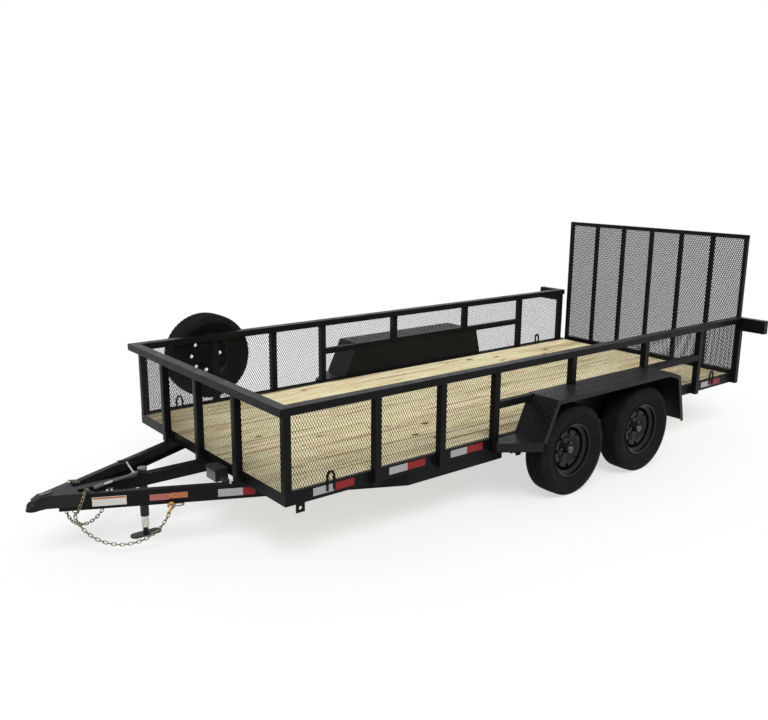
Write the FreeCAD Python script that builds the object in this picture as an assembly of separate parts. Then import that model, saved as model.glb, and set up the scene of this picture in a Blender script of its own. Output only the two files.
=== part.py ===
import FreeCAD, Part
import os
from math import asin, atan2, cos, pi, radians, sin, tan

V = FreeCAD.Vector

# Tandem-axle utility trailer with mesh sides and a ramp gate.
# Lengths are in mm. X points forward to the coupler, Y to the trailer's left, Z up.
# Lengthwise places are written from the middle of the bed, and the finished pieces are
# moved along X so that the origin lies under the middle of the whole trailer.

# Bed frame
BED_LENGTH = 4900.0
BED_WIDTH = 2080.0
BED_RISE = 78.0
RAIL_HEIGHT = 76.0
RAIL_LEG = 76.0
RAIL_WALL = 5.0
CROSSMEMBER_COUNT = 7
CROSSMEMBER_LEG = 50.0
CROSSMEMBER_DEPTH = 25.0
BOARD_THICKNESS = 38.0
BOARD_COUNT = 11
BOARD_GAP = 4.0
BOARD_END_GAP = 2.0

# Side and front walls
WALL_HEIGHT = 618.0
TOP_RAIL_HEIGHT = 50.0
TOP_RAIL_WIDTH = 75.0
TOP_RAIL_OVERHANG = 55.0
TUBE_WALL = 3.0
POST_SIZE = 50.0
SIDE_POST_SHARES = (0.735, 0.514, 0.309, -0.022, -0.396, -0.722)
FRONT_POST_SHARES = (-0.5, 0.0, 0.5)
MID_RAIL_HEIGHT = 50.0
MESH_THICKNESS = 3.0
MESH_SEAM = 2.0
MESH_STRAND = 8.0
MESH_CELL_WIDTH = 230.0
MESH_CELL_HEIGHT = 245.0
GATE_CELL_WIDTH = 150.0

# Wheels
TYRE_RADIUS = 344.0
TYRE_WIDTH = 205.0
TYRE_FACETS = 32
TREAD_WIDTH = 148.0
SHOULDER_DROP = 22.0
SHOULDER_TUCK = 10.0
BULGE_HEIGHT = 54.0
BEAD_SHARE = 24 / 43
BEAD_WIDTH = 136.0
BEAD_HEIGHT = 16.0
WHEEL_OVERHANG = 245.0
AXLE_SPACING = 840.0
AXLE_SETBACK = 300.0
RIM_FLANGE_HEIGHT = 11.0
RIM_FLANGE_FLARE = 5.0
RIM_CLEARANCE = 0.3
RIM_WALL = 3.0
RIM_WELL_DEPTH = 24.0
RIM_WELL_WIDTH = 60.0
RIM_SEAT_WIDTH = 24.0
DISC_BORE_RADIUS = 42.0
DISC_SEAT_RADIUS = 74.0
DISC_CROWN_SHARE = 2 / 3
DISC_CROWN = 24.0
DISC_EDGE_SET = 10.0
HAND_HOLE_COUNT = 8
HAND_HOLE_RADIUS = 15.0
HAND_HOLE_SHARE = 0.756
LUG_COUNT = 5
LUG_CIRCLE_RADIUS = 57.15
LUG_STUD_RADIUS = 6.5
LUG_NUT_RADIUS = 11.0
LUG_NUT_LENGTH = 20.0

# Hubs, axles and springs
SPINDLE_RADIUS = 15.0
SPINDLE_FIT = 0.05
SPINDLE_END_GAP = 2.0
HUB_RADIUS = 34.0
HUB_NOSE_RADIUS = 30.0
HUB_NOSE_LENGTH = 36.0
GREASE_CAP_LENGTH = 26.0
GREASE_CAP_TAPER = 5.0
DRUM_CLEARANCE = 30.0
DRUM_WALL = 10.0
DRUM_DEPTH = 62.0
DRUM_SETBACK = 6.0
HUB_SETBACK = 72.0
BACKING_GAP = 5.5
BACKING_THICKNESS = 5.0
AXLE_RADIUS = 30.0
SPRING_INSET = 55.0
SPRING_WIDTH = 45.0
SPRING_HALF_SPAN = 320.0
SPRING_RISE = 30.0
LEAF_THICKNESS = 6.0
LEAF_COUNT = 4
LEAF_LENGTH_SHARES = (1.0, 0.78, 0.56, 0.34)
SPRING_SEAT_HEIGHT = 8.0
SPRING_SEAT_LENGTH = 110.0
SPRING_EYE_RADIUS = 15.0
SPRING_BOLT_RADIUS = 7.0
CLAMP_PLATE_THICKNESS = 9.0
U_BOLT_RADIUS = 6.0
HANGER_PLATE = 6.0
HANGER_GAP = 3.0
HANGER_TOP_LENGTH = 130.0
HANGER_EYE_LENGTH = 44.0
EQUALISER_HALF_LENGTH = 78.0
EQUALISER_DROP = 38.0
EQUALISER_HEIGHT = 56.0
SHACKLE_WIDTH = 26.0

# Fenders
FENDER_WIDTH = 280.0
FENDER_CLEARANCE = 95.0
FENDER_SHEET = 3.0
FENDER_LIP = 34.0
FENDER_FRONT_GAP = 56.0
FENDER_FRONT_LEAN = 135.0
FENDER_REAR_FLAT = 260.0
FENDER_REAR_BEND = 400.0
FENDER_KNEE_DROP = 48.0
FENDER_REAR_GAP = 146.0
FENDER_FOOT_DROP = 77.0
STEP_LIP = 66.0
STEP_RUN = 270.0
STEP_NARROW = 90.0
STEP_PLATE = 6.0

# Tongue
TONGUE_HEIGHT = 102.0
TONGUE_FLANGE = 42.0
TONGUE_WEB = 5.0
TONGUE_HALF_ANGLE = 26.0
TONGUE_BED_Y = 542.0
TONGUE_RUN_INSET = 30.0
TONGUE_REAR_X = 610.0
TONGUE_TIP_GAP = 14.0
CENTRE_TUBE_WIDTH = 64.0
CENTRE_TUBE_HEIGHT = 76.0
CENTRE_TUBE_LAP = 30.0

# Coupler
COUPLER_REACH = 1160.0
COUPLER_LENGTH = 290.0
COUPLER_PLATE = 6.0
COUPLER_NOSE_RADIUS = 42.0
COUPLER_NOSE_HEIGHT = 50.0
COUPLER_NOSE_DROP = 76.0
COUPLER_RIM = 7.0
COUPLER_RIM_STEP = 5.0
BALL_RADIUS = 29.4
BALL_CLEARANCE = 0.6
LATCH_WIDTH = 26.0
LATCH_THICKNESS = 6.0
LATCH_LENGTH = 78.0
LATCH_TAIL_LENGTH = 30.0
LATCH_TAIL_RISE = 12.0

# Jack
JACK_FORWARD = 433.0
JACK_TUBE_RADIUS = 28.0
JACK_TUBE_WALL = 3.5
JACK_TUBE_BOTTOM_Z = 132.0
JACK_TOP_RISE = 30.0
JACK_CAP_RADIUS = 31.0
JACK_CAP_HEIGHT = 10.0
JACK_LEG_RADIUS = 23.5
JACK_LEG_TOP_GAP = 90.0
JACK_STUB_RADIUS = 17.0
JACK_STUB_HEIGHT = 46.0
JACK_FOOT_LENGTH = 206.0
JACK_FOOT_WIDTH = 76.0
JACK_FOOT_THICKNESS = 10.0
JACK_HEAD_LENGTH = 14.0
JACK_HEAD_RADIUS = 12.0
JACK_HEAD_DROP = 15.0
CRANK_ROD_RADIUS = 6.0
CRANK_STEP = 14.0
CRANK_ARM_REACH = 130.0
CRANK_ARM_RISE = 44.0
CRANK_GRIP_RADIUS = 13.0
CRANK_GRIP_LENGTH = 74.0
CRANK_GRIP_BACK = 22.0

# Safety chains
CHAIN_WIRE = 8.0
CHAIN_LINK_LENGTH = 52.0
CHAIN_LINK_WIDTH = 31.0
CHAIN_SLACK = 0.9
CHAIN_NOSE_SHARE = 0.62
CHAIN_SETBACK = 35.0
LEFT_CHAIN_LINKS = 23
LEFT_CHAIN_REACH = 395.0
RIGHT_CHAIN_LINKS = 17
RIGHT_CHAIN_REACH = 575.0
STAPLE_BAR = 7.0
STAPLE_HALF_WIDTH = 17.0
STAPLE_DROP = 18.0
HOOK_RING_LENGTH = 86.0
HOOK_RING_WIDTH = 50.0
HOOK_RING_LAP = 13.0
HOOK_RING_SETBACK = 30.0

# Breakaway box at the front rail
BOX_LENGTH = 90.0
BOX_WIDTH = 130.0
BOX_HEIGHT = 85.0
BOX_TOP_RISE = 47.0
BOX_Y = 280.0
BOX_LID_HEIGHT = 14.0
BOX_LID_OVERHANG = 4.0

# Lamps
LAMP_BOX_WIDTH = 230.0
LAMP_BOX_HEIGHT = 118.0
LAMP_BOX_DEPTH = 60.0
LAMP_BOX_WALL = 4.0
LAMP_WIDTH = 165.0
LAMP_HEIGHT = 62.0
LAMP_DEPTH = 14.0

# Tie-down loops and tabs
LOOP_ROD = 12.0
LOOP_WIDTH = 62.0
LOOP_RISE = 84.0
LOOP_FOOT = 40.0
LOOP_X_SHARES = (0.87, -0.84)
TAB_THICKNESS = 8.0
TAB_WIDTH = 60.0
TAB_DROP = 56.0
TAB_HOLE_RADIUS = 12.0
TAB_SETBACK = 105.0

# Spare wheel
SPARE_X_SHARE = 0.735
SPARE_RISE = 416.0
SPARE_GAP = 3.0
SPARE_ARM_SIZE = 40.0
SPARE_PLATE_THICKNESS = 8.0

# Ramp gate
GATE_SIDE_GAP = 20.0
GATE_TOP_Z = 1780.0
GATE_FOOT_DROP = 17.0
GATE_TUBE_WALL = 2.5
GATE_TUBE = 38.0
GATE_BAR_WIDTH = 32.0
GATE_BAR_COUNT = 7
GATE_STANDOFF = 41.0
GATE_MESH_THICKNESS = 3.0
HINGE_PIN_RADIUS = 8.0
HINGE_PIN_FIT = 0.05
HINGE_KNUCKLE_RADIUS = 15.0
HINGE_KNUCKLE_LENGTH = 60.0
HINGE_DROP = 19.0
HINGE_LUG_RADIUS = 14.0
HINGE_LUG_THICKNESS = 10.0
HINGE_SIDE_GAP = 1.0
HINGE_Y_SHARES = (-0.8, 0.8)

# Places worked out from the sizes above
HALF_LENGTH = BED_LENGTH / 2
HALF_WIDTH = BED_WIDTH / 2
RAIL_BOTTOM_Z = TYRE_RADIUS + BED_RISE
RAIL_TOP_Z = RAIL_BOTTOM_Z + RAIL_HEIGHT
CROSSMEMBER_Z = RAIL_BOTTOM_Z + RAIL_WALL
DECK_BOTTOM_Z = CROSSMEMBER_Z + CROSSMEMBER_DEPTH
WALL_TOP_Z = RAIL_BOTTOM_Z + WALL_HEIGHT
TOP_RAIL_Z = WALL_TOP_Z - TOP_RAIL_HEIGHT
POST_OUTER_Y = HALF_WIDTH + POST_SIZE
POST_FRONT_X = HALF_LENGTH + POST_SIZE
BEAD_RADIUS = TYRE_RADIUS * BEAD_SHARE
RIM_WELL_RADIUS = BEAD_RADIUS - RIM_WELL_DEPTH
DISC_CROWN_RADIUS = RIM_WELL_RADIUS * DISC_CROWN_SHARE
HAND_HOLE_CIRCLE = RIM_WELL_RADIUS * HAND_HOLE_SHARE
DRUM_RADIUS = RIM_WELL_RADIUS - DRUM_CLEARANCE
WHEEL_Y = HALF_WIDTH + WHEEL_OVERHANG - TYRE_WIDTH / 2
SPRING_Y = HALF_WIDTH - SPRING_INSET
TONGUE_RUN_Y = HALF_WIDTH - TONGUE_RUN_INSET
GATE_WIDTH = BED_WIDTH - GATE_SIDE_GAP - GATE_SIDE_GAP
TAB_X = HALF_LENGTH - TAB_SETBACK
FRONT_AXLE_X = -AXLE_SETBACK + AXLE_SPACING / 2
REAR_AXLE_X = -AXLE_SETBACK - AXLE_SPACING / 2
EQUALISER_PIVOT_Z = RAIL_BOTTOM_Z - EQUALISER_DROP
FENDER_OUTER_Y = HALF_WIDTH + FENDER_WIDTH
FENDER_TOP_Z = TYRE_RADIUS + TYRE_RADIUS + FENDER_CLEARANCE
FENDER_FOOT_Z = RAIL_BOTTOM_Z - FENDER_FOOT_DROP
FENDER_FRONT_FOOT = FRONT_AXLE_X + TYRE_RADIUS + FENDER_FRONT_GAP
FENDER_FRONT_TOP = FENDER_FRONT_FOOT - FENDER_FRONT_LEAN
FENDER_REAR_TOP = REAR_AXLE_X - FENDER_REAR_FLAT
FENDER_REAR_KNEE = REAR_AXLE_X - FENDER_REAR_BEND
FENDER_REAR_FOOT = REAR_AXLE_X - TYRE_RADIUS - FENDER_REAR_GAP
STEP_FRONT = FENDER_FRONT_FOOT + STEP_RUN
MID_RAIL_TOP_Z = FENDER_TOP_Z - FENDER_SHEET
NOSE_X = HALF_LENGTH + COUPLER_REACH
BALL_X = NOSE_X - COUPLER_NOSE_RADIUS
COUPLER_NOSE_Z = RAIL_BOTTOM_Z - COUPLER_NOSE_DROP
JACK_X = HALF_LENGTH + JACK_FORWARD
JACK_TOP_Z = RAIL_BOTTOM_Z + JACK_TOP_RISE
SPARE_Z = RAIL_BOTTOM_Z + SPARE_RISE
TONGUE_SLOPE = tan(radians(TONGUE_HALF_ANGLE))
TONGUE_APEX_X = HALF_LENGTH + TONGUE_BED_Y / TONGUE_SLOPE
TONGUE_BOTTOM_Z = RAIL_BOTTOM_Z - TONGUE_HEIGHT
GATE_FRONT_X = -HALF_LENGTH - GATE_STANDOFF
GATE_X = GATE_FRONT_X - GATE_TUBE / 2
GATE_REAR_X = GATE_FRONT_X - GATE_TUBE
GATE_BOTTOM_Z = RAIL_TOP_Z - GATE_FOOT_DROP
HINGE_Z = GATE_BOTTOM_Z - HINGE_DROP
SHIFT_X = -(NOSE_X + GATE_REAR_X) / 2


# Shape helpers

def box(x, y, z):
    """A block between the low and high value of each pair."""
    size = (x[1] - x[0], y[1] - y[0], z[1] - z[0])
    return Part.makeBox(size[0], size[1], size[2], V(x[0], y[0], z[0]))


def centred(middle, width):
    return (middle - width / 2, middle + width / 2)


def prism(corners, axis, span):
    """A flat outline of (a, b) corners drawn across one axis and pushed along it."""
    place = {"x": lambda a, b: V(span[0], a, b),
             "y": lambda a, b: V(a, span[0], b),
             "z": lambda a, b: V(a, b, span[0])}[axis]
    run = {"x": V(1, 0, 0), "y": V(0, 1, 0), "z": V(0, 0, 1)}[axis]
    loop = [place(a, b) for a, b in corners]
    wire = Part.makePolygon(loop + loop[:1])
    return Part.Face(wire).extrude(run * (span[1] - span[0]))


def rod(start, end, radius):
    way = end - start
    return Part.makeCylinder(radius, way.Length, start, way)


def turned(profile):
    """A solid of revolution about the Y axis from (radius, along) corners."""
    loop = [V(radius, along, 0) for radius, along in profile]
    wire = Part.makePolygon(loop + loop[:1])
    return Part.Face(wire).revolve(V(0, 0, 0), V(0, 1, 0), 360)


def faceted(profile, count):
    """The same with flat sides, its corners on the profile's radii."""
    turns = [2 * pi * index / count for index in range(count + 1)]
    faces = []
    for (r1, y1), (r2, y2) in zip(profile, profile[1:] + profile[:1]):
        for a, b in zip(turns, turns[1:]):
            corners = [V(r1 * cos(a), y1, r1 * sin(a)), V(r1 * cos(b), y1, r1 * sin(b)),
                       V(r2 * cos(b), y2, r2 * sin(b)), V(r2 * cos(a), y2, r2 * sin(a))]
            faces.append(Part.Face(Part.makePolygon(corners + corners[:1])))
    shell = Part.makeShell(faces)
    shell.sewShape()
    solid = Part.makeSolid(shell)
    if solid.Volume < 0:
        solid.reverse()
    return solid


def around(count, circle):
    """Points spaced evenly on a circle about the Y axis."""
    turns = [2 * pi * index / count for index in range(count)]
    return [V(circle * cos(turn), 0, circle * sin(turn)) for turn in turns]


def mirrored(shape):
    return shape.mirror(V(0, 0, 0), V(0, 1, 0))


def placed(shape, centre, side):
    """A copy of a piece drawn at the origin for the left side, moved to either side."""
    piece = shape.copy() if side > 0 else mirrored(shape)
    piece.translate(centre)
    return piece


def both_sides(shapes):
    return list(shapes) + [mirrored(shape) for shape in shapes]


def fused(shapes):
    whole = shapes[0].fuse(shapes[1:]) if len(shapes) > 1 else shapes[0]
    return whole.removeSplitter()


def offset_path(points, distance):
    """The open path moved sideways by a distance, to its left when that is positive."""
    moved = []
    for index, (x, y) in enumerate(points):
        before = points[max(index - 1, 0)]
        after = points[min(index + 1, len(points) - 1)]
        headings = []
        if before != (x, y):
            headings.append(atan2(y - before[1], x - before[0]))
        if after != (x, y):
            headings.append(atan2(after[1] - y, after[0] - x))
        middle = atan2(sum(sin(h) for h in headings), sum(cos(h) for h in headings))
        reach = distance / cos(headings[0] - middle)
        moved.append((x - reach * sin(middle), y + reach * cos(middle)))
    return moved


def band(points, thickness):
    """The closed outline of a strip that follows an open path."""
    return list(points) + offset_path(points, thickness)[::-1]


def tube_x(x, y, z, wall):
    inner = box(x, (y[0] + wall, y[1] - wall), (z[0] + wall, z[1] - wall))
    return box(x, y, z).cut(inner)


def tube_z(x, y, z, wall):
    inner = box((x[0] + wall, x[1] - wall), (y[0] + wall, y[1] - wall), z)
    return box(x, y, z).cut(inner)


# Bed frame

def side_rails():
    upright = box((-HALF_LENGTH, HALF_LENGTH), (HALF_WIDTH - RAIL_WALL, HALF_WIDTH),
                  (RAIL_BOTTOM_Z, RAIL_TOP_Z))
    leg = box((-HALF_LENGTH, HALF_LENGTH), (HALF_WIDTH - RAIL_LEG, HALF_WIDTH),
              (RAIL_BOTTOM_Z, RAIL_BOTTOM_Z + RAIL_WALL))
    return both_sides([fused([upright, leg])])


def end_rails():
    rails = []
    for end in (1, -1):
        face = sorted((end * HALF_LENGTH, end * (HALF_LENGTH - RAIL_WALL)))
        reach = sorted((end * HALF_LENGTH, end * (HALF_LENGTH - RAIL_LEG)))
        inside_y = HALF_WIDTH - RAIL_WALL
        leg_y = HALF_WIDTH - RAIL_LEG
        upright = box(face, (-inside_y, inside_y), (CROSSMEMBER_Z, RAIL_TOP_Z))
        leg = box(reach, (-leg_y, leg_y), (RAIL_BOTTOM_Z, RAIL_BOTTOM_Z + RAIL_WALL))
        rails.append(fused([upright, leg]))
    return rails


def crossmember_places():
    pitch = BED_LENGTH / (CROSSMEMBER_COUNT + 1)
    return [pitch * (index + 1) - HALF_LENGTH for index in range(CROSSMEMBER_COUNT)]


def floor_crossmembers():
    inside_y = HALF_WIDTH - RAIL_WALL
    members = []
    for x in crossmember_places():
        leg = box((x, x + CROSSMEMBER_LEG), (-inside_y, inside_y),
                  (DECK_BOTTOM_Z - RAIL_WALL, DECK_BOTTOM_Z))
        upright = box((x, x + RAIL_WALL), (-inside_y, inside_y), (CROSSMEMBER_Z, DECK_BOTTOM_Z))
        members.append(fused([leg, upright]))
    return members


def deck_boards():
    inside_y = HALF_WIDTH - RAIL_WALL
    pitch = (inside_y + inside_y) / BOARD_COUNT
    reach = HALF_LENGTH - RAIL_WALL - BOARD_END_GAP
    boards = []
    for index in range(BOARD_COUNT):
        middle = pitch * (index + 1 / 2) - inside_y
        boards.append(box((-reach, reach), centred(middle, pitch - BOARD_GAP),
                          (DECK_BOTTOM_Z, DECK_BOTTOM_Z + BOARD_THICKNESS)))
    return boards


# Walls

def side_post_places():
    """Middles of the side posts, front to rear, the rear corner post last."""
    places = [share * HALF_LENGTH for share in SIDE_POST_SHARES]
    return places + [POST_SIZE / 2 - HALF_LENGTH]


def side_posts():
    posts = []
    for index, x in enumerate(side_post_places()):
        on_fender = index in (3, 4)
        foot = FENDER_TOP_Z if on_fender else RAIL_BOTTOM_Z
        posts.append(tube_z(centred(x, POST_SIZE), (HALF_WIDTH, POST_OUTER_Y),
                            (foot, TOP_RAIL_Z), TUBE_WALL))
    return both_sides(posts)


def front_post_places():
    corner = HALF_WIDTH - POST_SIZE / 2
    return [-corner] + [share * HALF_WIDTH for share in FRONT_POST_SHARES] + [corner]


def front_posts():
    return [tube_z((HALF_LENGTH, POST_FRONT_X), centred(y, POST_SIZE),
                   (RAIL_BOTTOM_Z, TOP_RAIL_Z), TUBE_WALL) for y in front_post_places()]


def rail_loop(inset):
    """The top rail's three runs as one bar, or its hollow inside when inset by the wall."""
    outer_y = HALF_WIDTH + TOP_RAIL_OVERHANG - inset
    outer_x = HALF_LENGTH + TOP_RAIL_OVERHANG - inset
    width = TOP_RAIL_WIDTH - inset - inset
    z = (TOP_RAIL_Z + inset, WALL_TOP_Z - inset)
    outside = box((-HALF_LENGTH, outer_x), (-outer_y, outer_y), z)
    return outside.cut(box((-HALF_LENGTH, outer_x - width), (width - outer_y, outer_y - width), z))


def top_rail():
    return [rail_loop(0).cut(rail_loop(TUBE_WALL))]


def mid_rails():
    places = side_post_places()
    span = (places[5] + POST_SIZE / 2, places[2] - POST_SIZE / 2)
    rail = tube_x(span, (HALF_WIDTH, POST_OUTER_Y),
                  (MID_RAIL_TOP_Z - MID_RAIL_HEIGHT, MID_RAIL_TOP_Z), TUBE_WALL)
    return both_sides([rail])


def mesh_panel(a, b, axis, span, cell_width):
    """A flat panel of diamond openings, with a strip left whole round its edge."""
    columns = max(round((a[1] - a[0]) / cell_width), 1)
    rows = max(round((b[1] - b[0]) / MESH_CELL_HEIGHT), 1)
    wide = (a[1] - a[0]) / (columns + columns)
    tall = (b[1] - b[0]) / (rows + rows)
    reach = wide - MESH_STRAND
    rise = tall - MESH_STRAND
    diamonds = []
    for column in range(columns + columns + 1):
        for row in range(column % 2, rows + rows + 1, 2):
            x = a[0] + wide * column
            z = b[0] + tall * row
            diamonds.append(prism([(x - reach, z), (x, z - rise), (x + reach, z), (x, z + rise)],
                                  axis, span))
    return plate(a, b, 0, axis, span).cut(
        plate(a, b, MESH_STRAND, axis, span).common(Part.makeCompound(diamonds)))


def plate(a, b, inset, axis, span):
    low_a, high_a = a[0] + inset, a[1] - inset
    low_b, high_b = b[0] + inset, b[1] - inset
    return prism([(low_a, low_b), (high_a, low_b), (high_a, high_b), (low_a, high_b)], axis, span)


def side_mesh():
    places = [HALF_LENGTH] + side_post_places()[:-1] + [-HALF_LENGTH]
    panels = []
    for front, rear in zip(places, places[1:]):
        panels.append(mesh_panel((rear + MESH_SEAM / 2, front - MESH_SEAM / 2),
                                 (RAIL_TOP_Z, TOP_RAIL_Z), "y",
                                 (HALF_WIDTH - MESH_THICKNESS, HALF_WIDTH), MESH_CELL_WIDTH))
    return both_sides(panels)


def front_mesh():
    edge = HALF_WIDTH - RAIL_WALL
    places = [-edge] + front_post_places()[1:-1] + [edge]
    return [mesh_panel((left + MESH_SEAM / 2, right - MESH_SEAM / 2), (RAIL_TOP_Z, TOP_RAIL_Z),
                       "x", (HALF_LENGTH - MESH_THICKNESS, HALF_LENGTH), MESH_CELL_WIDTH)
            for left, right in zip(places, places[1:])]


# Fenders

def fender_path():
    """Side view of the fender's outside, front foot to rear foot."""
    return [(FENDER_FRONT_FOOT, RAIL_TOP_Z), (FENDER_FRONT_TOP, FENDER_TOP_Z),
            (FENDER_REAR_TOP, FENDER_TOP_Z), (FENDER_REAR_KNEE, FENDER_TOP_Z - FENDER_KNEE_DROP),
            (FENDER_REAR_FOOT, FENDER_FOOT_Z)]


def fender():
    path = fender_path()
    sheet = prism(band(path, FENDER_SHEET), "y", (POST_OUTER_Y, FENDER_OUTER_Y))
    top_strip = box((FENDER_REAR_TOP, FENDER_FRONT_TOP), (HALF_WIDTH, POST_OUTER_Y),
                    (MID_RAIL_TOP_Z, FENDER_TOP_Z))
    lip = prism(band(path, FENDER_LIP), "y", (FENDER_OUTER_Y - FENDER_SHEET, FENDER_OUTER_Y))
    skirt = path[:4] + [(FENDER_REAR_FOOT + FENDER_LIP, RAIL_TOP_Z)]
    inner = prism(skirt, "y", (HALF_WIDTH, HALF_WIDTH + FENDER_SHEET))
    below = box((FENDER_REAR_FOOT, FENDER_FRONT_FOOT), (HALF_WIDTH, HALF_WIDTH + FENDER_SHEET),
                (RAIL_TOP_Z, MID_RAIL_TOP_Z - MID_RAIL_HEIGHT))
    return fused([sheet, top_strip, lip, inner.common(below), step()])


def step():
    """Flat step between the rail and the fender's front foot, with a turned-down edge."""
    rear = FENDER_FRONT_FOOT - STEP_PLATE
    post_rear = side_post_places()[2] - POST_SIZE / 2
    edge_path = [(STEP_FRONT, POST_OUTER_Y), (STEP_FRONT, HALF_WIDTH + STEP_NARROW),
                 (FENDER_FRONT_FOOT, FENDER_OUTER_Y)]
    corners = edge_path + [(rear, FENDER_OUTER_Y), (rear, HALF_WIDTH),
                           (post_rear, HALF_WIDTH), (post_rear, POST_OUTER_Y)]
    top = prism(corners, "z", (RAIL_TOP_Z - STEP_PLATE, RAIL_TOP_Z))
    edge = band(edge_path, STEP_PLATE)
    return top.fuse(prism(edge, "z", (RAIL_TOP_Z - STEP_LIP, RAIL_TOP_Z)))


def fenders():
    return both_sides([fender()])


# Tongue

def tongue_y(x):
    """Distance of the tongue beam's outer face from the middle line."""
    return (TONGUE_APEX_X - x) * TONGUE_SLOPE


def tongue_x(y):
    return TONGUE_APEX_X - y / TONGUE_SLOPE


def tongue_beams():
    tip_y = TONGUE_TIP_GAP + TONGUE_FLANGE / cos(radians(TONGUE_HALF_ANGLE))
    path = [(TONGUE_REAR_X, TONGUE_RUN_Y), (tongue_x(TONGUE_RUN_Y), TONGUE_RUN_Y),
            (tongue_x(tip_y), tip_y)]
    web = prism(band(path, -TONGUE_WEB), "z", (TONGUE_BOTTOM_Z, RAIL_BOTTOM_Z))
    low = prism(band(path, -TONGUE_FLANGE), "z", (TONGUE_BOTTOM_Z, TONGUE_BOTTOM_Z + TONGUE_WEB))
    high = prism(band(path, -TONGUE_FLANGE), "z", (RAIL_BOTTOM_Z - TONGUE_WEB, RAIL_BOTTOM_Z))
    return both_sides([fused([web, low, high])])


def tongue_centre_tube():
    y = centred(0, CENTRE_TUBE_WIDTH)
    z = (RAIL_BOTTOM_Z - CENTRE_TUBE_HEIGHT, RAIL_BOTTOM_Z)
    rear = HALF_LENGTH - RAIL_LEG
    front = coupler_rear_x() + CENTRE_TUBE_LAP
    jack_hole = Part.makeCylinder(JACK_TUBE_RADIUS, RAIL_TOP_Z, V(JACK_X, 0, 0))
    pieces = []
    for span in ((rear, JACK_X), (JACK_X, front)):
        pieces.append(tube_x(span, y, z, TUBE_WALL).cut(jack_hole))
    return pieces


# Coupler

def coupler_rear_x():
    return NOSE_X - COUPLER_LENGTH


def coupler_wings():
    """Top plate over the beams' tips and the two walls that hang from its edges."""
    rear = coupler_rear_x()
    front = BALL_X - COUPLER_NOSE_RADIUS
    half = COUPLER_NOSE_RADIUS - COUPLER_RIM_STEP
    wing_step = COUPLER_PLATE / cos(radians(TONGUE_HALF_ANGLE))
    wing_y = tongue_y(rear) + wing_step
    shoulder = tongue_x(half - wing_step)
    outline = [(rear, wing_y), (shoulder, half), (front, half), (front, -half),
               (shoulder, -half), (rear, -wing_y)]
    deck_top = RAIL_BOTTOM_Z + COUPLER_PLATE
    top = prism(outline, "z", (RAIL_BOTTOM_Z, deck_top))
    wall = prism(band(outline[:3], -COUPLER_PLATE), "z", (COUPLER_NOSE_Z, deck_top))
    return [top, wall, mirrored(wall)]


def coupler():
    """Pressed A-frame coupler: wings over the beams, a hollow domed nose and a stiff rim."""
    front = BALL_X - COUPLER_NOSE_RADIUS
    half = COUPLER_NOSE_RADIUS - COUPLER_RIM_STEP
    ball_z = COUPLER_NOSE_Z + COUPLER_NOSE_HEIGHT - BALL_RADIUS
    foot = V(BALL_X, 0, COUPLER_NOSE_Z)
    centre = V(BALL_X, 0, ball_z)
    neck = Part.makeCylinder(half, ball_z - COUPLER_NOSE_Z, foot)
    dome = Part.makeSphere(half, centre).common(Part.makeCylinder(half, half, centre))
    rim = Part.makeCylinder(COUPLER_NOSE_RADIUS, COUPLER_RIM, foot)
    slope = [(front, COUPLER_NOSE_Z), (BALL_X, COUPLER_NOSE_Z), (BALL_X, ball_z + half),
             (front, RAIL_BOTTOM_Z + COUPLER_PLATE)]
    throat = prism(slope, "y", (-half, half))
    solid = fused([neck, dome, rim, throat] + coupler_wings())
    socket = BALL_RADIUS + BALL_CLEARANCE
    mouth = Part.makeCylinder(socket, ball_z - COUPLER_NOSE_Z, foot)
    return [solid.cut(Part.makeSphere(socket, centre)).cut(mouth)]


def coupler_latch():
    """Lever that lies along the coupler's top, its tail turned up."""
    base = RAIL_BOTTOM_Z + COUPLER_PLATE
    front = BALL_X - COUPLER_NOSE_RADIUS
    bend = front - LATCH_LENGTH + LATCH_TAIL_LENGTH
    path = [(front, base), (bend, base), (front - LATCH_LENGTH, base + LATCH_TAIL_RISE)]
    return [prism(band(path, -LATCH_THICKNESS), "y", centred(0, LATCH_WIDTH))]


# Jack

def jack_tube():
    base = V(JACK_X, 0, JACK_TUBE_BOTTOM_Z)
    height = JACK_TOP_Z - JACK_TUBE_BOTTOM_Z
    tube = Part.makeCylinder(JACK_TUBE_RADIUS, height, base)
    bore = Part.makeCylinder(JACK_TUBE_RADIUS - JACK_TUBE_WALL, height, base)
    cap = Part.makeCylinder(JACK_CAP_RADIUS, JACK_CAP_HEIGHT, V(JACK_X, 0, JACK_TOP_Z))
    head = Part.makeCylinder(JACK_HEAD_RADIUS, JACK_TUBE_RADIUS + JACK_HEAD_LENGTH,
                             V(JACK_X, 0, JACK_TOP_Z - JACK_HEAD_DROP), V(1, 0, 0))
    return [fused([tube, cap, head]).cut(bore)]


def jack_crank():
    z = JACK_TOP_Z - JACK_HEAD_DROP
    start = V(JACK_X + JACK_TUBE_RADIUS + JACK_HEAD_LENGTH, 0, z)
    elbow = start + V(CRANK_STEP, 0, 0)
    end = elbow + V(0, -CRANK_ARM_REACH, CRANK_ARM_RISE)
    back = end - V(CRANK_GRIP_BACK, 0, 0)
    grip = rod(back, back + V(CRANK_GRIP_LENGTH, 0, 0), CRANK_GRIP_RADIUS)
    return [fused([rod(start, elbow, CRANK_ROD_RADIUS), rod(elbow, end, CRANK_ROD_RADIUS),
                   Part.makeSphere(CRANK_ROD_RADIUS, elbow), grip])]


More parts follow.
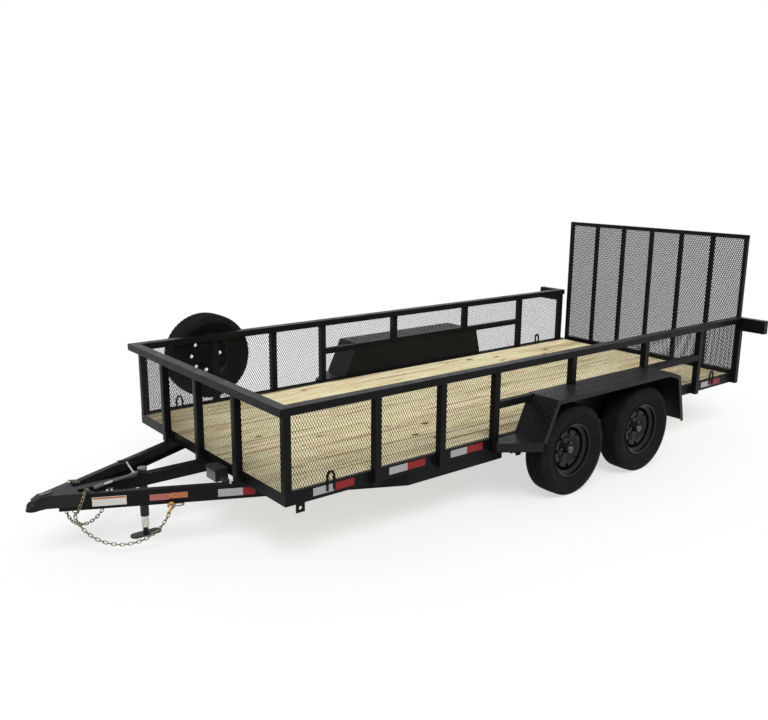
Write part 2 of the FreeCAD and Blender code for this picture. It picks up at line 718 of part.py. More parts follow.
def jack_leg():
    stub_top = JACK_FOOT_THICKNESS + JACK_STUB_HEIGHT
    leg_top = JACK_TOP_Z - JACK_LEG_TOP_GAP
    leg = rod(V(JACK_X, 0, stub_top), V(JACK_X, 0, leg_top), JACK_LEG_RADIUS)
    stub = rod(V(JACK_X, 0, JACK_FOOT_THICKNESS), V(JACK_X, 0, stub_top), JACK_STUB_RADIUS)
    straight = JACK_FOOT_LENGTH - JACK_FOOT_WIDTH
    foot = [box(centred(JACK_X, straight), centred(0, JACK_FOOT_WIDTH), (0, JACK_FOOT_THICKNESS))]
    for x in centred(JACK_X, straight):
        foot.append(rod(V(x, 0, 0), V(x, 0, JACK_FOOT_THICKNESS), JACK_FOOT_WIDTH / 2))
    return [fused([leg, stub] + foot)]


# Safety chains

def flat_ring(length, width, wire):
    """An eight-sided ring of square bar round the origin, its long way along X."""
    half = length / 2
    wide = width / 2
    nose = wide * CHAIN_NOSE_SHARE

    def outline(inset):
        return [(half - inset, nose - inset / 2), (half - wide, wide - inset),
                (wide - half, wide - inset), (inset - half, nose - inset / 2),
                (inset - half, inset / 2 - nose), (wide - half, inset - wide),
                (half - wide, inset - wide), (half - inset, inset / 2 - nose)]

    span = centred(0, wire)
    return prism(outline(0), "z", span).cut(prism(outline(wire), "z", span))


def chain_link(middle, heading, side, upright):
    """One link with its long way along the heading, flat to the side or turned upright."""
    link = flat_ring(CHAIN_LINK_LENGTH, CHAIN_LINK_WIDTH, CHAIN_WIRE)
    if upright:
        link.rotate(V(0, 0, 0), V(1, 0, 0), 90)
    turn = FreeCAD.Rotation(heading, side, heading.cross(side), "XZY")
    link.Placement = FreeCAD.Placement(middle, turn).multiply(link.Placement)
    return link


def hanging_half_turn(run, length):
    """Half the turn of an arc with this chord and this length along the curve."""
    low, high = 0, pi
    for _ in range(60):
        half = (low + high) / 2
        if sin(half) * length > run * half:
            low = half
        else:
            high = half
    return half


def chain_ends(reach):
    """Middles of the first and last link under the left beam, the last at this reach."""
    z = TONGUE_BOTTOM_Z - STAPLE_DROP - CHAIN_LINK_LENGTH / 2 + CHAIN_WIRE
    inset = TONGUE_FLANGE / 2
    front_x = NOSE_X - COUPLER_LENGTH + CHAIN_SETBACK
    rear_x = HALF_LENGTH + reach
    return V(front_x, tongue_y(front_x) - inset, z), V(rear_x, tongue_y(rear_x) - inset, z)


def chain_route(reach, count):
    """Middles and headings of the links as they hang between the two staples."""
    start, end = chain_ends(reach)
    run = (end - start).Length
    across = (end - start).normalize()
    length = (CHAIN_LINK_LENGTH - CHAIN_WIRE - CHAIN_WIRE - CHAIN_SLACK) * (count - 1)
    half = hanging_half_turn(run, length)
    radius = length / (half + half)
    middle = (start + end) * 0.5 + V(0, 0, radius * cos(half))
    places = []
    for index in range(count):
        turn = (half + half) * index / (count - 1) - half
        point = middle + across * (radius * sin(turn)) - V(0, 0, radius * cos(turn))
        places.append((point, across * cos(turn) + V(0, 0, sin(turn))))
    return places


def chain_staple(point):
    """Bent square bar under the left beam that an end link hangs on."""
    half = STAPLE_HALF_WIDTH
    low = point.z - STAPLE_BAR / 2
    path = [(-half, TONGUE_BOTTOM_Z), (-half, low), (half, low), (half, TONGUE_BOTTOM_Z)]
    staple = prism(band(path, STAPLE_BAR), "y", centred(0, STAPLE_BAR))
    return along_beam(staple, V(point.x, point.y, 0))


def along_beam(shape, place):
    """A piece drawn along X, turned to run along the left beam and moved to its place."""
    shape.rotate(V(0, 0, 0), V(0, 0, 1), -TONGUE_HALF_ANGLE)
    shape.translate(place)
    return shape


def hook_ring():
    """Flat ring welded under the left beam's outer edge for the chain's hook."""
    x = HALF_LENGTH + LEFT_CHAIN_REACH - HOOK_RING_SETBACK
    y = tongue_y(x) - HOOK_RING_LAP + HOOK_RING_WIDTH / 2
    ring = flat_ring(HOOK_RING_LENGTH, HOOK_RING_WIDTH, CHAIN_WIRE)
    return along_beam(ring, V(x, y, TONGUE_BOTTOM_Z - CHAIN_WIRE / 2))


def safety_chain(reach, count):
    route = chain_route(reach, count)
    side = V(0, 0, 1).cross((route[-1][0] - route[0][0]).normalize())
    pieces = []
    for index, (middle, heading) in enumerate(route):
        pieces.append(chain_link(middle, heading, side, index % 2 == 1))
    hang = CHAIN_LINK_LENGTH / 2 - CHAIN_WIRE - CHAIN_SLACK - STAPLE_BAR / 2
    for (middle, heading), end in ((route[0], -1), (route[-1], 1)):
        pieces.append(chain_staple(middle + heading * hang * end))
    return pieces


def safety_chains():
    left = safety_chain(LEFT_CHAIN_REACH, LEFT_CHAIN_LINKS) + [hook_ring()]
    right = safety_chain(RIGHT_CHAIN_REACH, RIGHT_CHAIN_LINKS)
    return left + [mirrored(piece) for piece in right]


# Fittings

def breakaway_box():
    x = (HALF_LENGTH, HALF_LENGTH + BOX_LENGTH)
    y = centred(BOX_Y, BOX_WIDTH)
    top = RAIL_BOTTOM_Z + BOX_TOP_RISE
    body = box(x, y, (top - BOX_HEIGHT, top))
    lid = box((x[0], x[1] + BOX_LID_OVERHANG),
              (y[0] - BOX_LID_OVERHANG, y[1] + BOX_LID_OVERHANG), (top - BOX_LID_HEIGHT, top))
    return [fused([body, lid])]


def lamp_places():
    y = (POST_OUTER_Y, POST_OUTER_Y + LAMP_BOX_WIDTH)
    z = (WALL_TOP_Z - LAMP_BOX_HEIGHT, WALL_TOP_Z)
    return y, z


def lamp_boxes():
    """Open-backed guards outboard of the rear posts, with the lamps let into them."""
    y, z = lamp_places()
    x = (-HALF_LENGTH, LAMP_BOX_DEPTH - HALF_LENGTH)
    clear_top = (z[0], TOP_RAIL_Z)
    outside = box(x, (y[0] + TOP_RAIL_OVERHANG - POST_SIZE, y[1]), z)
    foot = box(x, y, clear_top)
    inside = box((x[0], x[1] - LAMP_BOX_WALL),
                 (y[0] + TOP_RAIL_OVERHANG - POST_SIZE + LAMP_BOX_WALL, y[1] - LAMP_BOX_WALL),
                 (z[0] + LAMP_BOX_WALL, z[1] - LAMP_BOX_WALL))
    return both_sides([fused([outside, foot]).cut(inside)])


def tail_lamps():
    y, z = lamp_places()
    middle_y = (y[0] + y[1]) / 2
    middle_z = (z[0] + z[1]) / 2
    straight = (LAMP_WIDTH - LAMP_HEIGHT) / 2
    x = LAMP_BOX_DEPTH - LAMP_BOX_WALL - HALF_LENGTH
    depth = LAMP_BOX_DEPTH - LAMP_BOX_WALL + LAMP_DEPTH
    ends = [Part.makeCylinder(LAMP_HEIGHT / 2, depth, V(x, middle_y + side * straight, middle_z),
                              V(-1, 0, 0)) for side in (1, -1)]
    body = box((x - depth, x), centred(middle_y, straight + straight),
               centred(middle_z, LAMP_HEIGHT))
    return both_sides([fused([body] + ends)])


def tie_down_loop(x):
    """Bent square rod welded to the rail's outer face, standing above its top."""
    low = RAIL_TOP_Z - LOOP_FOOT
    high = RAIL_TOP_Z + LOOP_RISE
    half = LOOP_WIDTH / 2
    path = [(x - half, low), (x - half, high - half), (x - half / 2, high),
            (x + half / 2, high), (x + half, high - half), (x + half, low)]
    return prism(band(path, -LOOP_ROD), "y", (HALF_WIDTH, HALF_WIDTH + LOOP_ROD))


def lashing_tab():
    y = (HALF_WIDTH - TAB_THICKNESS, HALF_WIDTH)
    plate = box(centred(TAB_X, TAB_WIDTH), y, (RAIL_BOTTOM_Z - TAB_DROP, RAIL_BOTTOM_Z))
    hole = Part.makeCylinder(TAB_HOLE_RADIUS, TAB_THICKNESS,
                             V(TAB_X, y[0], RAIL_BOTTOM_Z - TAB_DROP / 2), V(0, 1, 0))
    return plate.cut(hole)


def tie_downs():
    loops = [tie_down_loop(share * HALF_LENGTH) for share in LOOP_X_SHARES]
    return both_sides(loops + [lashing_tab()])


# Wheels

def tyre():
    """Flat-sided ring with bulged walls; its bead stays clear of the rim all round."""
    grown = 1 / cos(pi / TYRE_FACETS)
    neck_r = (BEAD_RADIUS + BEAD_HEIGHT) * grown
    wall = [(BEAD_RADIUS * grown, BEAD_WIDTH / 2), (neck_r, BEAD_WIDTH / 2),
            (neck_r + BULGE_HEIGHT, TYRE_WIDTH / 2),
            (TYRE_RADIUS - SHOULDER_DROP, TYRE_WIDTH / 2 - SHOULDER_TUCK),
            (TYRE_RADIUS, TREAD_WIDTH / 2)]
    return faceted(wall + [(r, -y) for r, y in wall[::-1]], TYRE_FACETS)


def rim():
    """Drop-centre barrel with a crowned disc, hand holes and bolt holes."""
    seat_r = BEAD_RADIUS - RIM_CLEARANCE
    half_bead = BEAD_WIDTH / 2 + RIM_CLEARANCE
    half_well = RIM_WELL_WIDTH / 2
    lip = half_bead + RIM_FLANGE_FLARE
    half_path = [(seat_r + RIM_FLANGE_HEIGHT, lip), (seat_r, half_bead),
                 (seat_r, half_bead - RIM_SEAT_WIDTH), (RIM_WELL_RADIUS, half_well)]
    path = half_path + [(r, -y) for r, y in half_path[::-1]]
    barrel = turned(band(path, -RIM_WALL))
    edge_r = RIM_WELL_RADIUS - RIM_WALL
    disc_path = [(DISC_BORE_RADIUS, 0), (DISC_SEAT_RADIUS, 0), (DISC_CROWN_RADIUS, DISC_CROWN),
                 ((DISC_CROWN_RADIUS + edge_r) / 2, DISC_CROWN), (edge_r, -DISC_EDGE_SET)]
    disc = turned(band(disc_path, RIM_WALL))
    side_reach = V(0, TYRE_WIDTH / 2, 0)
    solid = fused([barrel, disc.common(rod(-side_reach, side_reach, edge_r))])
    drills = []
    for count, circle, radius in ((HAND_HOLE_COUNT, HAND_HOLE_CIRCLE, HAND_HOLE_RADIUS),
                                  (LUG_COUNT, LUG_CIRCLE_RADIUS, LUG_STUD_RADIUS)):
        drills += [rod(point - side_reach, point + side_reach, radius)
                   for point in around(count, circle)]
    return solid.cut(Part.makeCompound(drills))


def hub():
    """Hub and brake drum turned as one, with wheel nuts and a grease cap."""
    bore = SPINDLE_RADIUS + SPINDLE_FIT
    end = HUB_NOSE_LENGTH
    cap_end = end + GREASE_CAP_LENGTH
    profile = [(bore, -HUB_SETBACK), (HUB_RADIUS, -HUB_SETBACK),
               (HUB_RADIUS, -DRUM_SETBACK - DRUM_WALL),
               (DRUM_RADIUS - DRUM_WALL, -DRUM_SETBACK - DRUM_WALL),
               (DRUM_RADIUS - DRUM_WALL, -DRUM_SETBACK - DRUM_DEPTH),
               (DRUM_RADIUS, -DRUM_SETBACK - DRUM_DEPTH), (DRUM_RADIUS, -DRUM_SETBACK),
               (DISC_SEAT_RADIUS, -DRUM_SETBACK), (DISC_SEAT_RADIUS, 0), (HUB_RADIUS, 0),
               (HUB_NOSE_RADIUS, end), (HUB_NOSE_RADIUS, cap_end - GREASE_CAP_TAPER),
               (HUB_NOSE_RADIUS - GREASE_CAP_TAPER, cap_end), (0, cap_end), (0, end), (bore, end)]
    nuts = []
    for point in around(LUG_COUNT, LUG_CIRCLE_RADIUS):
        nuts += wheel_bolt(point - V(0, DRUM_SETBACK, 0), point + V(0, RIM_WALL, 0))
    return fused([turned(profile)] + nuts)


def wheel_bolt(root, seat):
    """A stud and its nut, the nut's underside on the seat."""
    return [rod(root, seat, LUG_STUD_RADIUS),
            rod(seat, seat + V(0, LUG_NUT_LENGTH, 0), LUG_NUT_RADIUS)]


def wheel_nodes():
    nodes = {}
    wheel = {"tyre": tyre(), "rim": rim(), "hub": hub()}
    for end, x in (("front", FRONT_AXLE_X), ("rear", REAR_AXLE_X)):
        for name, side in (("left", 1), ("right", -1)):
            centre = V(x, side * WHEEL_Y, TYRE_RADIUS)
            for piece, shape in wheel.items():
                nodes["%s_%s_%s" % (piece, end, name)] = [placed(shape, centre, side)]
    nodes["spare_tyre"] = [placed(wheel["tyre"], spare_centre(), -1)]
    nodes["spare_rim"] = [placed(wheel["rim"], spare_centre(), -1)]
    return nodes


# Spare wheel

def spare_centre():
    y = HALF_WIDTH + TOP_RAIL_OVERHANG + SPARE_GAP + TYRE_WIDTH / 2
    return V(SPARE_X_SHARE * HALF_LENGTH, -y, SPARE_Z)


def spare_mount():
    """Arm from the post to the spare's disc, with a plate and two bolts, drawn leftward."""
    reach = -spare_centre().y - POST_OUTER_Y
    half = SPARE_ARM_SIZE / 2
    arm = box((-half, half), (-reach, -SPARE_PLATE_THICKNESS), (-half, half))
    disc = rod(V(0, -SPARE_PLATE_THICKNESS, 0), V(0, 0, 0), DISC_SEAT_RADIUS)
    bolts = []
    for point in around(LUG_COUNT, LUG_CIRCLE_RADIUS)[1:3]:
        bolts += wheel_bolt(point - V(0, SPARE_PLATE_THICKNESS, 0), point + V(0, RIM_WALL, 0))
    return [placed(fused([arm, disc] + bolts), spare_centre(), -1)]


# Axles and springs

def spring_leaf_radius():
    return (SPRING_HALF_SPAN ** 2 + SPRING_RISE ** 2) / (SPRING_RISE + SPRING_RISE)


def spring_top_z():
    return TYRE_RADIUS - AXLE_RADIUS - SPRING_SEAT_HEIGHT


def spring_eye_z():
    return spring_top_z() + SPRING_RISE - SPRING_EYE_RADIUS / 2


def arc_slab(centre, inner, outer, half_angle, span):
    """A strip between two arcs about a point above, pushed along Y."""
    def at(radius, angle):
        return V(centre[0] + radius * sin(angle), span[0], centre[1] - radius * cos(angle))

    edges = [Part.Arc(at(inner, -half_angle), at(inner, 0), at(inner, half_angle)).toShape(),
             Part.LineSegment(at(inner, half_angle), at(outer, half_angle)).toShape(),
             Part.Arc(at(outer, half_angle), at(outer, 0), at(outer, -half_angle)).toShape(),
             Part.LineSegment(at(outer, -half_angle), at(inner, -half_angle)).toShape()]
    return Part.Face(Part.Wire(edges)).extrude(V(0, span[1] - span[0], 0))


def leaf_spring(x):
    radius = spring_leaf_radius()
    centre = (x, spring_top_z() + radius)
    whole_angle = asin(SPRING_HALF_SPAN / radius)
    span = centred(SPRING_Y, SPRING_WIDTH)
    leaves = []
    for index, share in enumerate(LEAF_LENGTH_SHARES):
        inner = radius + LEAF_THICKNESS * index
        leaves.append(arc_slab(centre, inner, inner + LEAF_THICKNESS, whole_angle * share, span))
    eyes = []
    holes = []
    for end in (1, -1):
        place = V(x + end * SPRING_HALF_SPAN, span[0], spring_eye_z())
        eyes.append(Part.makeCylinder(SPRING_EYE_RADIUS, SPRING_WIDTH, place, V(0, 1, 0)))
        holes.append(Part.makeCylinder(SPRING_BOLT_RADIUS, SPRING_WIDTH, place, V(0, 1, 0)))
    return fused(leaves + eyes).cut(Part.makeCompound(holes))


def leaf_springs():
    return both_sides([leaf_spring(FRONT_AXLE_X), leaf_spring(REAR_AXLE_X)])


def axle_clamp(x):
    """Spring seat, tie plate and two U-bolts round the axle tube."""
    stack = LEAF_THICKNESS * LEAF_COUNT
    low = spring_top_z() - stack - CLAMP_PLATE_THICKNESS
    bolt_step = SPRING_WIDTH / 2 + HANGER_GAP + U_BOLT_RADIUS
    edge = bolt_step + U_BOLT_RADIUS + HANGER_GAP
    seat = box(centred(x, SPRING_SEAT_LENGTH), centred(SPRING_Y, SPRING_WIDTH),
               (spring_top_z(), TYRE_RADIUS - AXLE_RADIUS / 2))
    radius = spring_leaf_radius()
    leaf_top = Part.makeCylinder(radius, SPRING_WIDTH,
                                 V(x, SPRING_Y - SPRING_WIDTH / 2, spring_top_z() + radius),
                                 V(0, 1, 0))
    seat = seat.common(leaf_top)
    tie_plate = box(centred(x, SPRING_SEAT_LENGTH), (SPRING_Y - edge, SPRING_Y + edge),
                    (low, low + CLAMP_PLATE_THICKNESS))
    reach = AXLE_RADIUS + U_BOLT_RADIUS
    bolts = []
    for side in (1, -1):
        bolt_y = SPRING_Y + side * bolt_step
        arch = Part.makeTorus(reach, U_BOLT_RADIUS, V(x, bolt_y, TYRE_RADIUS), V(0, 1, 0))
        above = box(centred(x, SPRING_SEAT_LENGTH), (bolt_y - bolt_step, bolt_y + bolt_step),
                    (TYRE_RADIUS, TYRE_RADIUS + reach + U_BOLT_RADIUS))
        bolts.append(arch.common(above))
        for end in (1, -1):
            bolts.append(rod(V(x + end * reach, bolt_y, low - U_BOLT_RADIUS),
                             V(x + end * reach, bolt_y, TYRE_RADIUS), U_BOLT_RADIUS))
    return fused([seat, tie_plate] + bolts)


def axle(x):
    end = WHEEL_Y - HUB_SETBACK - BACKING_GAP
    spindle_end = WHEEL_Y + HUB_NOSE_LENGTH - SPINDLE_END_GAP
    middle = V(x, 0, TYRE_RADIUS)
    tube = rod(middle - V(0, end, 0), middle + V(0, end, 0), AXLE_RADIUS)
    spindle = rod(middle - V(0, spindle_end, 0), middle + V(0, spindle_end, 0), SPINDLE_RADIUS)
    plates = []
    for side in (1, -1):
        face = middle + V(0, side * end, 0)
        plates.append(rod(face - V(0, side * BACKING_THICKNESS, 0), face, DRUM_RADIUS))
    clamps = both_sides([axle_clamp(x)])
    return fused([tube, spindle] + plates + clamps)


def axles():
    return [axle(FRONT_AXLE_X), axle(REAR_AXLE_X)]


def hanger(x, bolt_z):
    """Two plates under the rail, tapered down to a bolt through the spring eye."""
    half_top = HANGER_TOP_LENGTH / 2
    half_eye = HANGER_EYE_LENGTH / 2
    outline = [(x - half_top, RAIL_BOTTOM_Z), (x - half_eye, bolt_z - half_eye),
               (x + half_eye, bolt_z - half_eye), (x + half_top, RAIL_BOTTOM_Z)]
    inside = SPRING_WIDTH / 2 + HANGER_GAP
    plates = [prism(outline, "y", sorted((SPRING_Y + side * inside,
                                          SPRING_Y + side * (inside + HANGER_PLATE))))
              for side in (1, -1)]
    reach = inside + HANGER_PLATE + SPRING_BOLT_RADIUS
    bolt = rod(V(x, SPRING_Y - reach, bolt_z), V(x, SPRING_Y + reach, bolt_z), SPRING_BOLT_RADIUS)
    return fused(plates + [bolt])


def spring_hangers():
    front = hanger(FRONT_AXLE_X + SPRING_HALF_SPAN, spring_eye_z())
    rear = hanger(REAR_AXLE_X - SPRING_HALF_SPAN, spring_eye_z())
    middle = hanger(-AXLE_SETBACK, EQUALISER_PIVOT_Z)
    return both_sides([front, middle, rear])


def equaliser():
    """Rocking plate between the two springs, with its shackle straps and bolts."""
    x = -AXLE_SETBACK
    half = EQUALISER_HEIGHT / 2
    arm = EQUALISER_HALF_LENGTH
    low = EQUALISER_PIVOT_Z - half
    top = RAIL_BOTTOM_Z - HANGER_GAP
    outline = [(x - arm, low), (x + arm, low), (x + arm, EQUALISER_PIVOT_Z), (x + half, top),
               (x - half, top), (x - arm, EQUALISER_PIVOT_Z)]
    plate = prism(outline, "y", centred(SPRING_Y, SPRING_WIDTH / 2))
    hole = rod(V(x, 0, EQUALISER_PIVOT_Z), V(x, HALF_WIDTH, EQUALISER_PIVOT_Z), SPRING_BOLT_RADIUS)
    pieces = [plate.cut(hole)]
    inside = SPRING_WIDTH / 2 + HANGER_GAP
    reach = inside + HANGER_PLATE + SPRING_BOLT_RADIUS
    for end, eye_x in ((1, FRONT_AXLE_X - SPRING_HALF_SPAN), (-1, REAR_AXLE_X + SPRING_HALF_SPAN)):
        pin_x = x + end * (arm - SHACKLE_WIDTH / 2)
        pin_z = (low + EQUALISER_PIVOT_Z) / 2
        for bolt_x, bolt_z in ((pin_x, pin_z), (eye_x, spring_eye_z())):
            pieces.append(rod(V(bolt_x, SPRING_Y - reach, bolt_z),
                              V(bolt_x, SPRING_Y + reach, bolt_z), SPRING_BOLT_RADIUS))
        way = atan2(spring_eye_z() - pin_z, eye_x - pin_x)
        dx = SHACKLE_WIDTH / 2 * cos(way)
        dz = SHACKLE_WIDTH / 2 * sin(way)
        strap = [(pin_x - dx - dz, pin_z - dz + dx), (eye_x + dx - dz, spring_eye_z() + dz + dx),
                 (eye_x + dx + dz, spring_eye_z() + dz - dx), (pin_x - dx + dz, pin_z - dz - dx)]
        for side in (1, -1):
            pieces.append(prism(strap, "y", sorted((SPRING_Y + side * inside,
                                                    SPRING_Y + side * (inside + HANGER_PLATE)))))
    return fused(pieces)


def equalisers():
    return both_sides([equaliser()])


# Ramp gate

def gate_bar_places():
    edge = (GATE_WIDTH - GATE_BAR_WIDTH) / 2
    pitch = (edge + edge) / (GATE_BAR_COUNT - 1)
    return [pitch * index - edge for index in range(GATE_BAR_COUNT)]


def gate_bars(inset):
    """Rails and bars of the gate, or their hollow insides when inset by the wall."""
    x = (GATE_REAR_X + inset, GATE_FRONT_X - inset)
    y = centred(0, GATE_WIDTH)
    low = GATE_BOTTOM_Z + inset
    high = GATE_TOP_Z - inset
    height = GATE_TUBE - inset - inset
    rails = [box(x, y, (low, low + height)), box(x, y, (high - height, high))]
    bars = [box(x, centred(place, GATE_BAR_WIDTH - inset - inset), (low + height, high - height))
            for place in gate_bar_places()]
    return fused(rails + bars)


def gate_frame():
    tubes = gate_bars(0).cut(gate_bars(GATE_TUBE_WALL))
    return [fused([tubes] + gate_knuckles())]


def gate_knuckles():
    """Sleeves under the gate's foot that turn on the hinge pins."""
    knuckles = []
    for place in hinge_places():
        start = V(GATE_X, place - HINGE_KNUCKLE_LENGTH / 2, HINGE_Z)
        end = start + V(0, HINGE_KNUCKLE_LENGTH, 0)
        sleeve = rod(start, end, HINGE_KNUCKLE_RADIUS)
        neck = box(centred(GATE_X, HINGE_KNUCKLE_RADIUS), (start.y, end.y), (HINGE_Z, GATE_BOTTOM_Z))
        knuckles.append(fused([sleeve, neck]).cut(rod(start, end, HINGE_PIN_RADIUS + HINGE_PIN_FIT)))
    return knuckles


def gate_mesh():
    places = gate_bar_places()
    half = GATE_BAR_WIDTH / 2
    return [mesh_panel((left + half, right - half),
                       (GATE_BOTTOM_Z + GATE_TUBE, GATE_TOP_Z - GATE_TUBE), "x",
                       centred(GATE_X, GATE_MESH_THICKNESS), GATE_CELL_WIDTH)
            for left, right in zip(places, places[1:])]


def hinge_places():
    return [share * GATE_WIDTH / 2 for share in HINGE_Y_SHARES]


def gate_hinges():
    """Paired lugs behind the rear rail, each pair with one pin."""
    hinges = []
    for place in hinge_places():
        inside = HINGE_KNUCKLE_LENGTH / 2 + HINGE_SIDE_GAP
        pieces = []
        for side in (1, -1):
            face = place + side * inside
            y = sorted((face, face + side * HINGE_LUG_THICKNESS))
            arm = box((GATE_X, -HALF_LENGTH), y, centred(HINGE_Z, HINGE_LUG_RADIUS + HINGE_LUG_RADIUS))
            nose = Part.makeCylinder(HINGE_LUG_RADIUS, HINGE_LUG_THICKNESS,
                                     V(GATE_X, y[0], HINGE_Z), V(0, 1, 0))
            pieces += [arm, nose]
        reach = inside + HINGE_LUG_THICKNESS
        pieces.append(rod(V(GATE_X, place - reach, HINGE_Z), V(GATE_X, place + reach, HINGE_Z),
                          HINGE_PIN_RADIUS))
        hinges.append(fused(pieces))
    return hinges


# Writing the pieces

def all_nodes():
    nodes = {
        "side_rails": side_rails(), "end_rails": end_rails(),
        "floor_crossmembers": floor_crossmembers(), "deck_boards": deck_boards(),
        "side_posts": side_posts(), "front_posts": front_posts(), "top_rail": top_rail(),
        "mid_rails": mid_rails(), "side_mesh": side_mesh(), "front_mesh": front_mesh(),
        "fenders": fenders(), "tongue_beams": tongue_beams(),
        "tongue_centre_tube": tongue_centre_tube(), "coupler": coupler(),
        "coupler_latch": coupler_latch(), "jack_tube": jack_tube(), "jack_crank": jack_crank(),
        "jack_leg": jack_leg(), "safety_chains": safety_chains(),
        "breakaway_box": breakaway_box(), "lamp_boxes": lamp_boxes(), "tail_lamps": tail_lamps(),
        "tie_downs": tie_downs(), "spare_mount": spare_mount(), "axles": axles(),
        "leaf_springs": leaf_springs(), "spring_hangers": spring_hangers(),
        "equalisers": equalisers(), "gate_hinges": gate_hinges(), "gate_frame": gate_frame(),
        "gate_mesh": gate_mesh(),
    }
    nodes.update(wheel_nodes())
    return nodes


def write_nodes():
    os.makedirs("parts", exist_ok=True)
    for name, solids in all_nodes().items():
        piece = Part.makeCompound(solids) if len(solids) > 1 else solids[0]
        piece.translate(V(SHIFT_X, 0, 0))
        piece.exportStep("parts/%s.step" % name)


write_nodes()
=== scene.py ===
"""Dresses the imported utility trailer: materials, fine mesh, trim, camera and light."""

from math import cos, pi, radians, sin, sqrt, tan

import bpy
import numpy as np
from mathutils import Matrix, Vector


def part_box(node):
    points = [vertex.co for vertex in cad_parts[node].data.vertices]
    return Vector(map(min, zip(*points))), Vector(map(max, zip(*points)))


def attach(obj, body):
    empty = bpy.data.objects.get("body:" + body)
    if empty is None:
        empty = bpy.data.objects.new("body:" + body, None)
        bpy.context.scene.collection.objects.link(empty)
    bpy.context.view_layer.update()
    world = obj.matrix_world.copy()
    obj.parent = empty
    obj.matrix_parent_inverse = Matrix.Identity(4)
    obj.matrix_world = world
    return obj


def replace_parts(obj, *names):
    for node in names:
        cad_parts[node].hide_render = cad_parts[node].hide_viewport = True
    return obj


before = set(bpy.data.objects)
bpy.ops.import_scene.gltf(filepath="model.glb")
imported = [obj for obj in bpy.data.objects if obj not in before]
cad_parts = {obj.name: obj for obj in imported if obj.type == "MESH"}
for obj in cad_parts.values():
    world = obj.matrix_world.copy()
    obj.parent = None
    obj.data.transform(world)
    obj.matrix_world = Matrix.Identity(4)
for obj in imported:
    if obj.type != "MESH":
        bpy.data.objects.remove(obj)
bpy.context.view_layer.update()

SIDES = (("left", 1), ("right", -1))
WHEELS = [(f"{end}_{name}", side) for end in ("front", "rear") for name, side in SIDES]
UPRIGHT = Matrix.Rotation(pi / 2, 4, "X")
BEVEL_ANGLE = radians(30)

# Camera, fitted to the photograph's corners
IMAGE_WIDTH = 768
FOCAL_PIXELS = 844.2
PRINCIPAL_OFFSET = (9.15, 1.52)
SENSOR_WIDTH = 36.0
CAMERA_PLACE = (4.322, 5.003, 2.391)
CAMERA_YAW = radians(-129.007)
CAMERA_PITCH = radians(13.275)
CAMERA_ROLL = radians(0.602)

# Expanded mesh: diamond width and height, strand width and thickness
WALL_MESH = (0.019, 0.036, 0.0030, 0.0013)
GATE_MESH = (0.018, 0.036, 0.0061, 0.0016)
STRAND_TILT = radians(35)
BOND_SHARE = 0.16
BAR_SIDES = ((0, 4, 5, 1), (1, 5, 6, 2), (2, 6, 7, 3), (3, 7, 4, 0))

# Tyres and tread
TREAD_PITCHES = 60
STEPS_PER_PITCH = 5
TREAD_HALF = 0.075
GROOVE_PLACES = (0.046, 0.016, -0.016, -0.046)
GROOVE_HALF = 0.0042
GROOVE_SLOPE = 0.001
GROOVE_DEPTH = 0.008
SIPE_DEPTH = 0.004
BEAD_RADIUS = 0.192
HALF_BEAD = 0.068
WALL_STEPS = 13
SWELL_REACH = 0.74 / sin(pi * 0.26)
SWELL_TURN = pi * 0.93 * 0.56
WIDEST = 0.6
NECK_RISE = 0.016
SHOULDER_DROP = 0.020
EDGE_ROUND = 0.0075
WALL_SINK = 0.0006
WALL_RINGS = (2, 4, 9)
RING_RISE = 0.0009
CROWN_DROP = 0.0024
TREAD_LEAN = 0.22

# Hubs and wheel nuts
LUG_COUNT = 5
LUG_CIRCLE = 0.05715
NUT_WIDTH = 0.0215
NUT_HEIGHT = 0.013
NUT_DOME = 0.0075
NUT_TURN = 2.3
DISC_WALL = 0.003
HUB_PROFILE = ((0.0151, -0.072), (0.034, -0.072), (0.034, -0.016), (0.128, -0.016),
               (0.128, -0.068), (0.138, -0.068), (0.138, -0.050), (0.1345, -0.047),
               (0.1345, -0.026), (0.138, -0.023), (0.138, -0.010), (0.134, -0.006),
               (0.074, -0.006), (0.074, -0.0003), (0.036, -0.0003), (0.034, 0.004),
               (0.031, 0.030), (0.0325, 0.032), (0.0325, 0.036))
CAP_PROFILE = ((0.030, 0.034), (0.0305, 0.040), (0.030, 0.054), (0.027, 0.0585),
               (0.021, 0.0610), (0.010, 0.0618))

# Tread plate
LUG_LENGTH = 0.026
LUG_WIDTH = 0.007
LUG_HEIGHT = 0.0014
LUG_SINK = 0.0004
LUG_OUTLINE = ((2, 0), (1, 1), (-1, 1), (-2, 0), (-1, -1), (1, -1))
LUG_MARGIN = 0.004
WHEELS_MIDDLE = (-0.84, 0, 0.3)
LUG_PITCH = 0.026
FENDER_PATH = ((-0.0205, 0.498), (-0.1555, 0.783), (-1.5205, 0.783), (-1.6605, 0.735),
               (-1.7505, 0.345))
STEP_RUN = (-0.0205, 0.2495)
STEP_WIDTH = 0.03
POST_OUTER = 1.090
FENDER_OUTER = 1.320
LINER_PLANE = (1.0435, 1.0455)
LINER_SHEET = 0.003
LINED_SLOPES = (0, 2, 3)

# Reflective tape and labels
TAPE_LENGTH = 0.152
TAPE_HEIGHT = 0.050
TAPE_THICKNESS = 0.0006
TAPE_STARTS = (1.715, 1.134, 0.602, -2.450)
RAIL_TAPE_DROP = 0.003
BEAM_TAPE_PLACE = (2.051, 0.366)
SLAB_EDGE = 0.0003

# Tongue beams, seen from above
BEAM_ANGLE = radians(26)
BEAM_FRONT = 3.0208
BEAM_BOTTOM = 0.320
BEAM_TOP = 0.422

